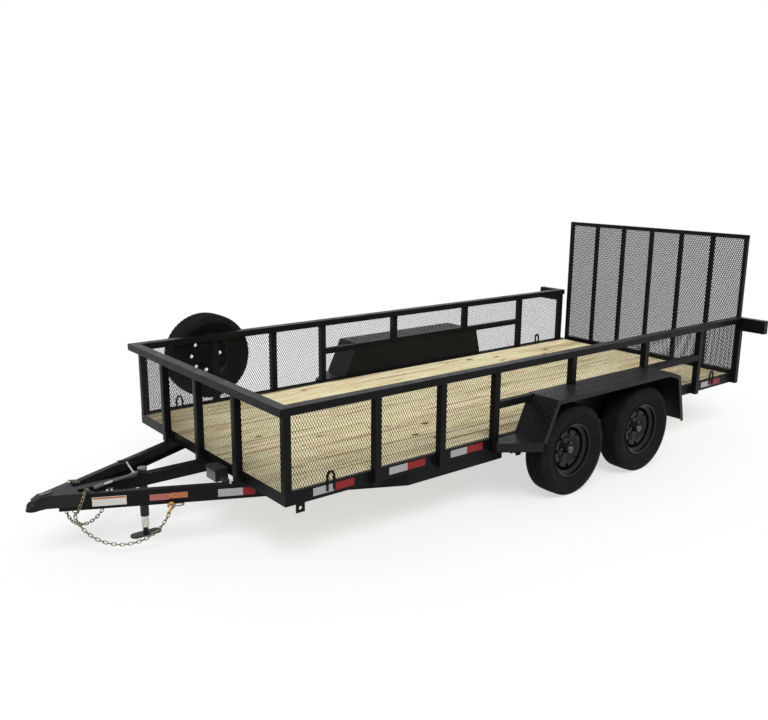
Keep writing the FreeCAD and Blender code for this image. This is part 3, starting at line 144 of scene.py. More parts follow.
# Safety chains: where the CAD chains hang from; each one's side, rear end and link count
CHAIN_FRONT_X = 2.8145
CHAIN_END_Z = 0.284
CHAIN_INSET = 0.021
CAD_PITCH = 0.0351
ARC_STEPS = 40
CHAINS = ((1, 2.3045, 23), (-1, 2.4845, 17))
CHAIN_LEAD = ((2.752, -0.046, 0.432), (2.757, -0.012, 0.4325), (2.762, 0.0095, 0.418),
              (2.778, 0.0105, 0.370), (2.797, 0.0095, 0.321), (2.808, -0.004, 0.300))
CHAIN_STUD = (2.749, -0.050, BEAM_TOP)
STUD_NUT = (0.019, 0.012, 0.006)
WASHER = ((0.015, 0), (0.015, 0.0025), (0.012, 0.003))
STAPLE_PATH = ((0.015, 0.321), (0.015, 0.3085), (0.008, 0.3005), (-0.008, 0.3005),
               (-0.015, 0.3085), (-0.015, 0.321))
STAPLE_WIRE = 0.0035
RING_BAR = (2.3065, 0.0108, 0.316)
RING_PLACE = (2.2745, 0.3158)
RING_ENDS = ((0.019, -pi / 2, pi / 2), (-0.019, pi / 2, 3 * pi / 2))
RING_RADIUS = 0.020
RING_WIRE = 0.0042
EYE_RADIUS, EYE_WIRE, EYE_LIFT = 0.009, 0.0036, 0.004
HOOK_THIN, HOOK_SWELL = 0.0066, 0.0034
LINK_ROLLS = (radians(-35), radians(55))
LINK_PITCH = 0.0245
LINK_WIRE = 0.0031
LINK_WIDTH = 0.0235
LINK_PLAY = 0.0006

# Walls
SIDE_POSTS = (1.260, 0.719, 0.217, -2.309, -2.9655)
FENDER_POSTS = (-0.594, -1.511)
FRONT_POSTS = (-0.52, 0.0, 0.52)
POST_HALF = 0.025
WALL_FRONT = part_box("front_posts")[0].x - 2 * POST_HALF
RAIL_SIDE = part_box("side_rails")[1].y
MESH_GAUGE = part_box("front_mesh")[1].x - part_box("front_mesh")[0].x
RAIL_LOW, RAIL_HIGH = 0.425, 0.497
RAIL_TOP = 0.498
TOP_RAIL_LOW = 0.990
FENDER_TOP = 0.783


# Meshes from points and faces

class Shape:
    """Points and faces gathered for one piece."""

    def __init__(self):
        self.points = []
        self.faces = []
        self.count = 0

    def add(self, points, faces):
        self.points.append(np.asarray(points, float))
        self.faces += [[corner + self.count for corner in face] for face in faces]
        self.count += len(points)
        return self

    def add_copies(self, points, faces, matrices):
        for matrix in matrices:
            m = np.array(matrix)
            turned = faces if np.linalg.det(m[:3, :3]) > 0 else [face[::-1] for face in faces]
            self.add(np.asarray(points) @ m[:3, :3].T + m[:3, 3], turned)
        return self

    def joined(self):
        return np.concatenate(self.points), self.faces


def place_object(name, data):
    obj = bpy.data.objects.new(name, data)
    bpy.context.scene.collection.objects.link(obj)
    return obj


def make_piece(name, shape, surface, body="chassis", smooth=None):
    """A mesh object from a Shape, riding on a CAD body. smooth is the sharp angle in degrees."""
    mesh = bpy.data.meshes.new(name)
    points, faces = shape.joined()
    mesh.from_pydata(points.tolist(), [], faces)
    mesh.update()
    if smooth is not None:
        mesh.shade_smooth()
        mesh.set_sharp_from_angle(angle=radians(smooth))
    mesh.materials.append(surface)
    obj = place_object(name, mesh)
    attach(obj, body)
    return obj


def copied(name, source, places, surface, smooth, body="chassis"):
    """The same points and faces at each place, as one piece."""
    return make_piece(name, Shape().add_copies(*source, places), surface, body, smooth)


def add_bevel(obj, width, segments=2):
    bevel = obj.modifiers.new("bevel", "BEVEL")
    bevel.width = width
    bevel.segments = segments
    bevel.limit_method = "ANGLE"
    bevel.angle_limit = BEVEL_ANGLE
    return obj


def outline_at(low, high, z):
    return [(low[0], low[1], z), (high[0], low[1], z), (high[0], high[1], z),
            (low[0], high[1], z)]


def block(low, high):
    """Points and faces of a box between two corners."""
    return outline_at(low, high, low[2]) + outline_at(low, high, high[2]), \
        ring_faces(2, 4, cap=True)


def box_piece(name, corners, surface, bevel, segments=2, place=None):
    """Boxes between pairs of corners as one piece with eased edges."""
    shape = Shape()
    for low, high in corners:
        shape.add_copies(*block(low, high), [place or Matrix.Identity(4)])
    return add_bevel(make_piece(name, shape, surface), bevel, segments)


def ring_faces(rings, sides, closed=False, cap=False):
    """Quads between rings of points, each ring closed on itself; cap closes both ends."""
    last = rings if closed else rings - 1
    faces = [(a * sides + b, a * sides + (b + 1) % sides,
              (a + 1) % rings * sides + (b + 1) % sides, (a + 1) % rings * sides + b)
             for a in range(last) for b in range(sides)]
    if cap:
        faces += [tuple(range(sides))[::-1], tuple(range((rings - 1) * sides, rings * sides))]
    return faces


def round_turns(count):
    return np.linspace(0, 2 * pi, count, endpoint=False)


def lathe(profile, sides, cap=False):
    """Points and faces of (radius, along) pairs turned about Y."""
    points = [(r * cos(t), along, r * sin(t))
              for r, along in profile for t in round_turns(sides)]
    return points, ring_faces(len(profile), sides, cap=cap)


def swept(path, radius, sides, closed=False):
    """Points and faces of a round bar along a path; radius is one number or one a point."""
    path = [Vector(p) for p in path]
    count = len(path)
    radii = radius if isinstance(radius, (list, tuple)) else [radius] * count
    rings = []
    side = None
    for i, here in enumerate(path):
        before = path[i - 1] if i or closed else here
        after = path[(i + 1) % count] if i < count - 1 or closed else here
        along = (after - before).normalized()
        if side is None:
            side = along.orthogonal().normalized()
        side = (side - along * side.dot(along)).normalized()
        up = along.cross(side)
        rings += [here + (side * cos(t) + up * sin(t)) * radii[i]
                  for t in round_turns(sides)]
    return rings, ring_faces(count, sides, closed, not closed)


def rippled(name, path, radius, low, sides, surface):
    """A corrugated or coiled tube along a path, its radius drawn in at every other point."""
    radii = [radius * (1.0 if k % 2 else low) for k in range(len(path))]
    make_piece(name, Shape().add(*swept(path, radii, sides)), surface, smooth=50)


def curve_through(points, steps):
    """A smooth line through the points, with this many steps between two of them."""
    points = [Vector(p) for p in points]
    padded = [points[0] * 2 - points[1]] + points + [points[-1] * 2 - points[-2]]
    line = []
    for a, b, c, d in zip(padded, padded[1:], padded[2:], padded[3:]):
        for k in range(steps):
            t = k / steps
            line.append(0.5 * (2 * b + (c - a) * t + (2 * a - 5 * b + 4 * c - d) * t ** 2
                               + (3 * b - 3 * c + d - a) * t ** 3))
    return line + [points[-1]]


def spaced(path, pitch):
    """Points a pitch apart along a path, each with its heading."""
    path = np.array([tuple(p) for p in path])
    run = np.concatenate(([0], np.cumsum(np.linalg.norm(np.diff(path, axis=0), axis=1))))
    count = max(int(run[-1] / pitch), 1)
    places = []
    for k in range(count):
        at = (k + 0.5) * run[-1] / count
        near = [Vector([np.interp(at + shift, run, path[:, axis]) for axis in range(3)])
                for shift in (-pitch * 0.4, 0, pitch * 0.4)]
        places.append((near[1], (near[2] - near[0]).normalized()))
    return places


# Materials

def rgba(colour):
    """Four values of a colour, or of a grey given as one number."""
    return (*colour, 1) if isinstance(colour, tuple) else (colour,) * 3 + (1,)


class Nodes:
    """The shader nodes of a material or world."""

    def __init__(self, owner):
        owner.use_nodes = True
        self.tree = owner.node_tree

    def add(self, kind, settings=None, **inputs):
        """A node with its settings and its inputs set or linked; i0, i1 and so on go by number."""
        node = self.tree.nodes.new("ShaderNode" + kind)
        for key, value in (settings or {}).items():
            setattr(node, key, value)
        for key, value in inputs.items():
            socket = node.inputs[int(key[1:])] if key[0] == "i" and key[1:].isdigit() \
                else node.inputs[key.replace("_", " ")]
            if isinstance(value, bpy.types.NodeSocket):
                self.tree.links.new(value, socket)
            else:
                socket.default_value = value
        return node

    def maths(self, operation, first, second):
        return self.add("Math", {"operation": operation}, i0=first, i1=second).outputs[0]

    def seen(self):
        """One for camera, glossy and transmission rays, else zero."""
        path = self.add("LightPath")
        seen = path.outputs["Is Camera Ray"]
        for name in ("Is Glossy Ray", "Is Transmission Ray"):
            seen = self.maths("MAXIMUM", seen, path.outputs[name])
        return seen

    def show_mixed(self, output, factor, first, second):
        """Sends two shaders, mixed by a factor, to the output node."""
        mix = self.add("MixShader", i0=factor, i1=first.outputs[0], i2=second.outputs[0])
        self.tree.links.new(mix.outputs[0], self.tree.nodes[output].inputs["Surface"])


class Look(Nodes):
    """A principled material with uniform values set on the shader's own sockets."""

    def __init__(self, name, colour, rough, shine=0.5, metallic=0.0):
        self.material = bpy.data.materials.new(name)
        super().__init__(self.material)
        self.shader = self.tree.nodes["Principled BSDF"]
        for socket, value in (("Base Color", rgba(colour)), ("Roughness", rough),
                              ("Specular IOR Level", shine), ("Metallic", metallic)):
            self.shader.inputs[socket].default_value = value

    def ramp(self, fac, stops):
        """Colour ramp over fac; stops are (place, grey or colour)."""
        node = self.add("ValToRGB", i0=fac)
        for element, (place, colour) in zip(node.color_ramp.elements, stops):
            element.position = place
            element.color = rgba(colour)
        return node.outputs["Color"]

    def blend(self, factor, first, second, kind="MIX"):
        """Mixes two colours or colour sockets."""
        first, second = [rgba(c) if isinstance(c, tuple) else c for c in (first, second)]
        return self.add("Mix", {"data_type": "RGBA", "blend_type": kind},
                        Factor=factor, i6=first, i7=second).outputs[2]

    def place(self):
        """Coordinates in the piece's own frame."""
        return self.add("TexCoord").outputs["Object"]

    def noise(self, place, scale, detail=3.0, rough=0.5):
        return self.add("TexNoise", Vector=place, Scale=scale, Detail=detail,
                        Roughness=rough).outputs["Fac"]

    def link(self, source, socket):
        self.tree.links.new(source, self.shader.inputs[socket])

    def finish(self, colour, height, strength, distance):
        """Gives the shader its colour and a bump from a height, and returns the material."""
        bump = self.add("Bump", Height=height, Strength=strength, Distance=distance)
        self.link(bump.outputs["Normal"], "Normal")
        self.link(colour, "Base Color")
        return self.material


def painted(name, dark, light, rough, grain=260.0, painted_top_light=0.0, shine=0.09):
    """Black coating with slow colour change, fine orange peel and painted light on what faces up:
    a grey speckle that lightens the tops.
    """
    look = Look(name, dark, rough, shine)
    place = look.place()
    colour = look.ramp(look.noise(place, 3.0, 4.0), [(0.35, dark), (0.7, light)])
    # Painted light from above: up-facing faces are blended towards grey in a speckle, so the tops
    # read lighter.
    if painted_top_light:
        normal = look.add("NewGeometry").outputs["Normal"]
        up = look.add("SeparateXYZ", Vector=normal).outputs["Z"]
        mask = look.maths("MULTIPLY", up, look.noise(place, 9.0, 5.0))
        colour = look.blend(look.ramp(mask, [(0.25, 0.0), (0.75, painted_top_light)]), colour,
                            (0.22, 0.21, 0.19))
    gloss = look.ramp(look.noise(place, 14.0, 4.0), [(0.3, rough - 0.06), (0.7, rough + 0.08)])
    look.link(gloss, "Roughness")
    return look.finish(colour, look.noise(place, grain, 2.0), 0.12, 0.0006)


def plated(name, dark, light, rough, bare=None):
    """Zinc or steel with clouding and fine scratches; bare (axis, place) keeps the plating
    beyond a place on an axis and leaves the rest coated black."""
    look = Look(name, light, rough, shine=0.25 if bare else 0.5, metallic=0.85)
    place = look.place()
    colour = look.ramp(look.noise(place, 45.0, 5.0), [(0.3, dark), (0.68, light)])
    gloss = look.ramp(look.noise(place, 90.0, 4.0), [(0.3, rough - 0.1), (0.7, rough + 0.12)])
    if bare:
        along = look.add("SeparateXYZ", Vector=place).outputs[bare[0]]
        mask = look.maths("GREATER_THAN", along, bare[1])
        colour = look.blend(mask, (0.010, 0.010, 0.011), colour)
        look.link(look.maths("MULTIPLY", mask, 0.85), "Metallic")
    look.link(gloss, "Roughness")
    return look.finish(colour, look.noise(place, 500.0, 2.0), 0.1, 0.0004)


def pine_boards():
    """Pressure-treated pine: long grain, knots with rings, green and brown streaks by board."""
    look = Look("pine_boards", (0.72, 0.6, 0.35), 0.62, shine=0.3)
    board = look.add("Attribute", {"attribute_name": "board"}).outputs["Fac"]
    shift = look.add("CombineXYZ", X=look.maths("MULTIPLY", board, 37.0)).outputs[0]
    base = look.add("VectorMath", {"operation": "ADD"}, i0=look.place(),
                    i1=shift).outputs[0]

    def scaled(*scale):
        return look.add("Mapping", Vector=base, Scale=scale).outputs["Vector"]

    # knots: sparse cells, stretched along the board, that also bend the grain
    wander = look.noise(scaled(5.0, 16.0, 1.0), 1.0, 2.0)
    cells = look.add("TexVoronoi", {"feature": "F1"}, Vector=scaled(2.7, 5.6, 1.0),
                     Scale=1.0, Randomness=1.0)
    knot = look.maths("ADD", cells.outputs["Distance"], look.maths("MULTIPLY", wander, 0.06))
    core = look.ramp(knot, [(0.10, 1.0), (0.15, 0.0)])
    halo = look.ramp(knot, [(0.09, 1.0), (0.26, 0.0)])
    warp = look.noise(scaled(1.4, 9.0, 9.0), 1.0, 3.0)
    lines = look.maths("ADD", warp, look.maths("MULTIPLY", halo, 0.35))
    grain = look.maths("SINE", look.maths("MULTIPLY", lines, 34.0), 0.0)
    fine = look.noise(scaled(9.0, 420.0, 420.0), 1.0, 4.0, 0.65)
    late = look.ramp(grain, [(0.35, 0.0), (0.95, 1.0)])

    green = look.ramp(look.noise(scaled(0.7, 3.2, 1.0), 1.0, 4.0), [(0.44, 0.0), (0.70, 0.60)])
    streak = look.ramp(look.noise(scaled(1.1, 26.0, 1.0), 1.0, 4.0), [(0.51, 0.0), (0.70, 0.85)])
    colour = (0.94, 0.84, 0.56)
    for factor, tint in ((late, (0.79, 0.63, 0.37)), (green, (0.74, 0.71, 0.37)),
                         (streak, (0.33, 0.20, 0.07)),
                         (look.ramp(halo, [(0.2, 0.0), (1.0, 0.55)]), (0.40, 0.25, 0.09)),
                         (core, (0.07, 0.032, 0.012))):
        colour = look.blend(factor, colour, tint)
    for factor in (look.ramp(board, [(0.0, 0.93), (1.0, 1.06)]),
                   look.ramp(fine, [(0.3, 0.88), (0.7, 1.05)])):
        colour = look.blend(1.0, colour, factor, "MULTIPLY")
    return look.finish(colour, fine, 0.25, 0.001)


def rubber():
    """Tyre rubber with faint grey bloom."""
    look = Look("tyre_rubber", (0.008, 0.008, 0.0082), 0.8, shine=0.08)
    place = look.place()
    colour = look.ramp(look.noise(place, 11.0, 6.0, 0.6),
                       [(0.35, (0.0055, 0.0055, 0.0058)), (0.75, (0.011, 0.0108, 0.0105))])
    return look.finish(colour, look.noise(place, 700.0, 2.0), 0.15, 0.0005)


def tape(name, colour, dark):
    """Retroreflective tape with its small cell pattern."""
    look = Look(name, colour, 0.32, shine=0.2)
    cells = look.add("TexVoronoi", {"feature": "DISTANCE_TO_EDGE"},
                     Vector=look.place(), Scale=150.0, Randomness=0.25).outputs["Distance"]
    return look.finish(look.ramp(cells, [(0.02, dark), (0.09, colour)]), cells, 0.2, 0.0004)


def plain(name, colour, rough, scale=60.0, spread=0.12, shine=0.5):
    """Plastic, lens or label stock with a slight mottling."""
    look = Look(name, colour, rough, shine)
    place = look.place()
    dark = tuple(c * (1 - spread) for c in rgba(colour)[:3])
    mottled = look.ramp(look.noise(place, scale), [(0.3, dark), (0.7, colour)])
    return look.finish(mottled, look.noise(place, scale * 8, 2.0), 0.08, 0.0004)


BLACK = painted("black_coating", (0.0032, 0.0032, 0.0036), (0.0062, 0.0062, 0.0067), 0.36)
WELD = painted("weld_bead", 0.004, 0.008, 0.30, grain=420.0)
MESH_BLACK = painted("mesh_coating", (0.005, 0.005, 0.0054), (0.009, 0.009, 0.0094), 0.45)
# The fender coating has painted light on its up-facing faces, a grey speckle.
FENDER = painted("fender_coating", (0.004, 0.004, 0.0044), (0.008, 0.008, 0.0088), 0.34,
                 painted_top_light=0.06, shine=0.16)
RIM = painted("rim_gloss", (0.0035, 0.0035, 0.0038), (0.0065, 0.0065, 0.0068), 0.25,
              grain=120.0, shine=0.2)
COUPLER = painted("coupler_coating", (0.0055, 0.0055, 0.006), (0.011, 0.011, 0.0115), 0.42,
                  shine=0.15)
# The running gear coating has painted light on its up-facing faces, a grey speckle.
UNDER = painted("running_gear", (0.005, 0.005, 0.005), (0.010, 0.0098, 0.0094), 0.55, painted_top_light=0.05)
ZINC = plated("bright_zinc", (0.42, 0.43, 0.43), (0.66, 0.67, 0.67), 0.34)
NUT_STEEL = plated("nut_steel", 0.04, 0.13, 0.30)
DARK_STEEL = plated("dark_steel", 0.07, 0.20, 0.40)
CHAIN_ZINC = plated("chain_plating", (0.07, 0.062, 0.038), (0.34, 0.30, 0.19), 0.42)
HOOK_BRASS = plated("hook_plating", (0.28, 0.11, 0.03), (0.60, 0.34, 0.12), 0.38)
LATCH_STEEL = plated("latch_steel", 0.05, 0.22, 0.32)
LEG_ZINC = plated("leg_zinc", (0.48, 0.48, 0.42), (0.74, 0.74, 0.66), 0.38, ("Z", 0.056))
CRANK_ZINC = plated("crank_zinc", 0.40, 0.62, 0.30, ("Y", -0.1165))
CAP_ZINC = plated("cap_zinc", 0.14, 0.30, 0.36, ("Z", 0.4515))
PINE = pine_boards()
RUBBER = rubber()
PLASTIC = plain("black_plastic", (0.012, 0.012, 0.013), 0.5, shine=0.25)
CABLE_GREY = plain("cable_grey", 0.10, 0.45)
CASE_FACE = plain("grey_plastic", 0.12, 0.45)
LENS = plain("red_lens", (0.42, 0.012, 0.012), 0.12, spread=0.2)
TAPE_WHITE = tape("tape_white", (0.31, 0.31, 0.32), (0.22, 0.22, 0.24))
TAPE_RED = tape("tape_red", (0.21, 0.009, 0.012), (0.12, 0.005, 0.007))
LABEL_WHITE = plain("label_white", (0.50, 0.49, 0.46), 0.45)
LABEL_ORANGE = plain("label_orange", (0.47, 0.14, 0.04), 0.45, scale=110.0, spread=0.6)
LABEL_RED = plain("label_red", (0.36, 0.10, 0.08), 0.45, scale=90.0, spread=0.35)


# Expanded mesh panels

def strand_box(start, end, across, out):
    """Corner points of many skewed bars at once, each from start to end."""
    return np.stack([point + a * across + b * out for point in (start, end)
                     for a, b in ((-1, -1), (1, -1), (1, 1), (-1, 1))], axis=1)


def expanded_metal(width, height, weave, tilt):
    """Raised diamond mesh in a width by height sheet, long way up: points (n, 3) and quads."""
    diamond_width, diamond_height, strand_width, thickness = weave
    columns = 2 * round(width / diamond_width)
    rows = 2 * round(height / diamond_height)
    step = np.array((width / columns, height / rows, 0))
    i, j = np.meshgrid(np.arange(columns + 1), np.arange(rows + 1), indexing="ij")
    even = (i + j) % 2 == 0
    i, j = i[even], j[even]
    places = np.stack((i, j, np.zeros_like(i)), axis=1) * step
    bond = np.array((0, BOND_SHARE * step[1], 0))
    half = strand_width / 2
    face = np.array((0, 0, 1.0))
    sets = []
    for way in (1, -1):
        keep = (j < rows) & (i + way >= 0) & (i + way <= columns)
        start = places[keep] + bond
        end = places[keep] + np.array((way, 1, 0)) * step - bond
        along = end[0] - start[0]
        side = np.array((along[1], -along[0], 0)) / np.hypot(along[0], along[1])
        across = side * cos(tilt) * half + face * sin(tilt) * half
        out = (face * cos(tilt) - side * sin(tilt)) * thickness / 2
        sets.append(strand_box(start, end, across, out))
    strands = np.concatenate(sets)
    inside = (j > 0) & (j < rows)
    bonds = strand_box(places[inside] - bond * 1.15, places[inside] + bond * 1.15,
                       np.array((strand_width * 0.85, 0, 0)), face * thickness * 0.62)
    bars = np.concatenate((strands, bonds))
    faces = (np.array(BAR_SIDES)[None] + 8 * np.arange(len(bars))[:, None, None]).reshape(-1, 4)
    points = bars.reshape(-1, 3)
    points[:, :2] = np.clip(points[:, :2], 0, (width, height))
    return points, faces.tolist()


def mesh_wall(name, low, high, flat_axis, replaced, weave, lean, body="chassis"):
    """Expanded mesh over a wall between two corners; flat_axis is the sheet's normal."""
    along = 1 - flat_axis
    points, faces = expanded_metal(high[along] - low[along], high[2] - low[2], weave,
                                   STRAND_TILT * lean)
    placed = np.zeros_like(points)
    placed[:, along] = points[:, 0] + low[along]
    placed[:, 2] = points[:, 1] + low[2]
    placed[:, flat_axis] = points[:, 2] + (low[flat_axis] + high[flat_axis]) / 2
    wall = make_piece(name, Shape().add(placed, faces), MESH_BLACK, body)
    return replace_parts(wall, replaced)


def build_mesh():
    low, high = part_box("side_mesh")
    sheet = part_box("front_mesh")
    high.x = WALL_FRONT
    sheet[1].y = RAIL_SIDE - 2 * POST_HALF
    sheet[0].y = -sheet[1].y
    mesh_wall("mesh_left", (low.x, high.y - MESH_GAUGE, low.z), high, 1, "side_mesh",
              WALL_MESH, 1)
    mesh_wall("mesh_right", low, (high.x, low.y + MESH_GAUGE, high.z), 1, "side_mesh",
              WALL_MESH, -1)
    mesh_wall("mesh_front", *sheet, 0, "front_mesh", WALL_MESH, 1)
    mesh_wall("mesh_gate", *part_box("gate_mesh"), 0, "gate_mesh", GATE_MESH, -1, "gate")


# Front posts and deck edges

TUBE_CORNER = 0.005
TUBE_WALL = 0.0032
EDGE_FLANGE = 0.050
EDGE_RISE = 0.014
EDGE_PLATE = 0.005


def front_uprights():
    """Corners of the front posts: three outside the front rail, one on the rails each side."""
    low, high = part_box("front_posts")
    posts = [(Vector((low.x, y - POST_HALF, low.z)), Vector((high.x, y + POST_HALF, high.z)))
             for y in FRONT_POSTS]
    for near, far in ((-RAIL_SIDE, 2 * POST_HALF - RAIL_SIDE),
                      (RAIL_SIDE - 2 * POST_HALF, RAIL_SIDE)):
        posts.append((Vector((WALL_FRONT, near, RAIL_TOP)), Vector((low.x, far, high.z))))
    return posts


def square_tube(low, high):
    """Points and faces of an upright square tube with rounded corners, open at its ends."""
    rings = []
    for inset, z in ((0, low.z), (0, high.z), (TUBE_WALL, high.z), (TUBE_WALL, low.z)):
        radius = TUBE_CORNER - inset
        for turn, (x, y) in enumerate(((high.x, high.y), (low.x, high.y), (low.x, low.y),
                                       (high.x, low.y))):
            x += -TUBE_CORNER if x == high.x else TUBE_CORNER
            y += -TUBE_CORNER if y == high.y else TUBE_CORNER
            for t in np.linspace(turn, turn + 1, 5) * pi / 2:
                rings.append((x + radius * cos(t), y + radius * sin(t), z))
    return rings, ring_faces(4, len(rings) // 4, closed=True)


def build_front_posts():
    shape = Shape()
    for low, high in front_uprights():
        shape.add(*square_tube(low, high))
    posts = make_piece("front_uprights", shape, BLACK, smooth=40)
    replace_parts(posts, "front_posts")


def build_deck_edges():
    """The black angle that shows along each side of the deck, under the mesh."""
    low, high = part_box("deck_boards")
    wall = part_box("side_mesh")[1].y - MESH_GAUGE
    outline = [(wall, 0), (wall - EDGE_FLANGE, 0), (wall - EDGE_FLANGE, EDGE_PLATE),
               (wall - EDGE_PLATE, EDGE_PLATE), (wall - EDGE_PLATE, EDGE_RISE), (wall, EDGE_RISE)]
    ends = [(x, y, high.z + z) for x in (low.x, WALL_FRONT) for y, z in outline]
    for name, side in SIDES:
        shape = Shape().add_copies(ends, ring_faces(2, 6, cap=True),
                                   [Matrix.Scale(side, 4, (0, 1, 0))])
        add_bevel(make_piece(f"deck_edge_{name}", shape, BLACK), 0.001)


# Deck

BOARD_COUNT = 11
BOARD_GAP = 0.004
BOARD_EDGE = 0.004
BOARD_DROP = 0.0012
BOARD_SEED = 4
SCREW_HEAD = ((0.0055, -0.001), (0.0055, 0.0), (0.0044, 0.0009), (0.00165, 0.0006))
SCREW_INSET = 0.03
BEARER_COUNT = 7
BEARER_LEG = 0.050


def build_deck():
    """Boards with eased edges, each with a value for its shade, and two screws at a bearer."""
    low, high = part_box("deck_boards")
    pitch = (high.y - low.y + BOARD_GAP) / BOARD_COUNT
    shape = Shape()
    boards = []
    chance = np.random.default_rng(BOARD_SEED)
    for index in range(BOARD_COUNT):
        left = low.y + pitch * index
        drop = chance.uniform(0, BOARD_DROP)
        points, faces = block((low.x, left, low.z), (high.x, left + pitch - BOARD_GAP,
                                                     high.z - drop))
        shape.add(points, faces)
        boards += [chance.uniform()] * len(points)
    deck = make_piece("deck_planks", shape, PINE)
    values = deck.data.attributes.new("board", "FLOAT", "POINT")
    values.data.foreach_set("value", boards)
    add_bevel(deck, BOARD_EDGE, 3)
    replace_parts(deck, "deck_boards")
    first, last = [corner.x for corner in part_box("floor_crossmembers")]
    rows = np.linspace(first + BEARER_LEG / 2, last - BEARER_LEG / 2, BEARER_COUNT).tolist()
    copied("deck_screws", lathe(SCREW_HEAD, 10, cap=True), [
        Matrix.Translation((x, low.y + pitch * (index + share), high.z)) @ UPRIGHT
        for x in rows + [low.x + SCREW_INSET, high.x - SCREW_INSET]
        for index in range(BOARD_COUNT) for share in (0.25, 0.75)], DARK_STEEL, 30)


# Wheels

def tyre_shape(radius, half_width):
    """Tread with ribs, grooves and sipes, and walls with raised rings, about Y."""
    neck = BEAD_RADIUS + NECK_RISE
    side = [(BEAD_RADIUS, HALF_BEAD), (neck, HALF_BEAD)]
    shoulder_r = radius - SHOULDER_DROP
    shoulder_y = (TREAD_HALF + half_width) / 2
    for k in range(1, WALL_STEPS + 1):
        t = k / WALL_STEPS
        swell = SWELL_REACH * sin(SWELL_TURN * t)
        y = min(half_width, HALF_BEAD + (half_width - HALF_BEAD) * swell) \
            if t < WIDEST else half_width - (half_width - shoulder_y) \
            * ((t - WIDEST) / (1 - WIDEST)) ** 2
        ring = RING_RISE if k in WALL_RINGS else 0.0
        side.append((neck + (shoulder_r - neck) * t, y - WALL_SINK + ring))
    side.append((radius - EDGE_ROUND, TREAD_HALF + EDGE_ROUND))
    stations = [TREAD_HALF]
    for groove in GROOVE_PLACES:
        stations += [groove + way * GROOVE_HALF + slope for way in (1, -1)
                     for slope in (GROOVE_SLOPE, -GROOVE_SLOPE)]
    stations.append(-TREAD_HALF)
    tread = [(radius - CROWN_DROP * (y / TREAD_HALF) ** 2, y) for y in stations]
    grooved = [any(abs(y - g) < GROOVE_HALF for g in GROOVE_PLACES) for y in stations]
    profile = side + tread + [(r, -y) for r, y in side[::-1]]
    smooth, edge = [0.0] * len(side), [SIPE_DEPTH * 0.9]
    depth = smooth + [GROOVE_DEPTH if g else 0.0 for g in grooved] + smooth
    sipe = smooth[1:] + edge + [0.0 if g else SIPE_DEPTH for g in grooved] + edge + smooth[1:]
    steps = TREAD_PITCHES * STEPS_PER_PITCH
    points = []
    for (r, y), groove, notch in zip(profile, depth, sipe):
        lean = y * TREAD_LEAN / radius if groove or notch else 0.0
        for step in range(steps):
            phase = step + (2 if y < 0 else 0)
            floor = r - groove - (notch if phase % STEPS_PER_PITCH == 0 else 0.0)
            t = step * 2 * pi / steps + lean
            points.append((floor * cos(t), y, floor * sin(t)))
    return points, ring_faces(len(profile), steps, closed=True)


def hex_nut(width, height, dome):
    """A chamfered hexagon nut with a rounded cap, standing on the origin along Y."""
    corner = width / sqrt(3)
    nut = Shape().add(*lathe([(corner, 0), (corner, height * 0.8), (corner * 0.88, height)], 6,
                             cap=True))
    nut.add(*lathe([(width * 0.42, height * 0.98), (width * 0.40, height + dome * 0.5),
                    (width * 0.25, height + dome * 0.9), (width * 0.04, height + dome)], 12,
                   cap=True))
    return nut.joined()


def nut_ring(turns):
    """Wheel nuts at these turns of the bolt circle, on the disc."""
    places = [Matrix.Translation((LUG_CIRCLE * cos(t), DISC_WALL, LUG_CIRCLE * sin(t)))
              @ Matrix.Rotation(t * NUT_TURN, 4, "Y") for t in turns]
    return Shape().add_copies(*hex_nut(NUT_WIDTH, NUT_HEIGHT, NUT_DOME), places).joined()


def wheel_centre(tyre, side):
    """A wheel's centre, with Y turned to face outwards."""
    low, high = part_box(tyre)
    return Matrix.Translation((low + high) / 2) @ Matrix.Scale(side, 4, (0, 1, 0))


def build_tyres():
    low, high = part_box("tyre_front_left")
    points, faces = tyre_shape((high.z - low.z) / 2, (high.y - low.y) / 2)
    places = [(f"tyre_{wheel}", f"wheel_{wheel}") for wheel, _ in WHEELS]
    for node, body in places + [("spare_tyre", "chassis")]:
        low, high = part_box(node)
        shape = Shape().add(np.array(points) + np.array((low + high) / 2), faces)
        name = node.replace("tyre", "casing")
        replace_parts(make_piece(name, shape, RUBBER, body, smooth=38), node)


def build_hubs():
    turns = [2 * pi * k / LUG_COUNT for k in range(LUG_COUNT)]
    for wheel, side in WHEELS:
        at, body = [wheel_centre(f"tyre_{wheel}", side)], f"wheel_{wheel}"
        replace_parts(copied(f"drum_{wheel}", lathe(HUB_PROFILE, 64), at, UNDER, 32, body),
                    f"hub_{wheel}")
        copied(f"grease_cap_{wheel}", lathe(CAP_PROFILE, 40, cap=True), at, NUT_STEEL, 32, body)
        copied(f"nuts_{wheel}", nut_ring(turns), at, NUT_STEEL, 30, body)
    copied("nuts_spare", nut_ring(turns[1:3]), [wheel_centre("spare_tyre", -1)], ZINC, 30)


# Tread plate on the fenders

def lug():
    """One raised bar of tread plate, its length along X, its back just below z zero."""
    outline = [(LUG_LENGTH * a / 4, LUG_WIDTH * b / 2) for a, b in LUG_OUTLINE]
    points = [(x, y, -LUG_SINK) for x, y in outline] + \
        [(x * 0.72, y * 0.5, LUG_HEIGHT) for x, y in outline]
    faces = ring_faces(2, len(outline)) + [tuple(range(6, 12))]
    return points, [face[::-1] if len(face) == 4 else face for face in faces]


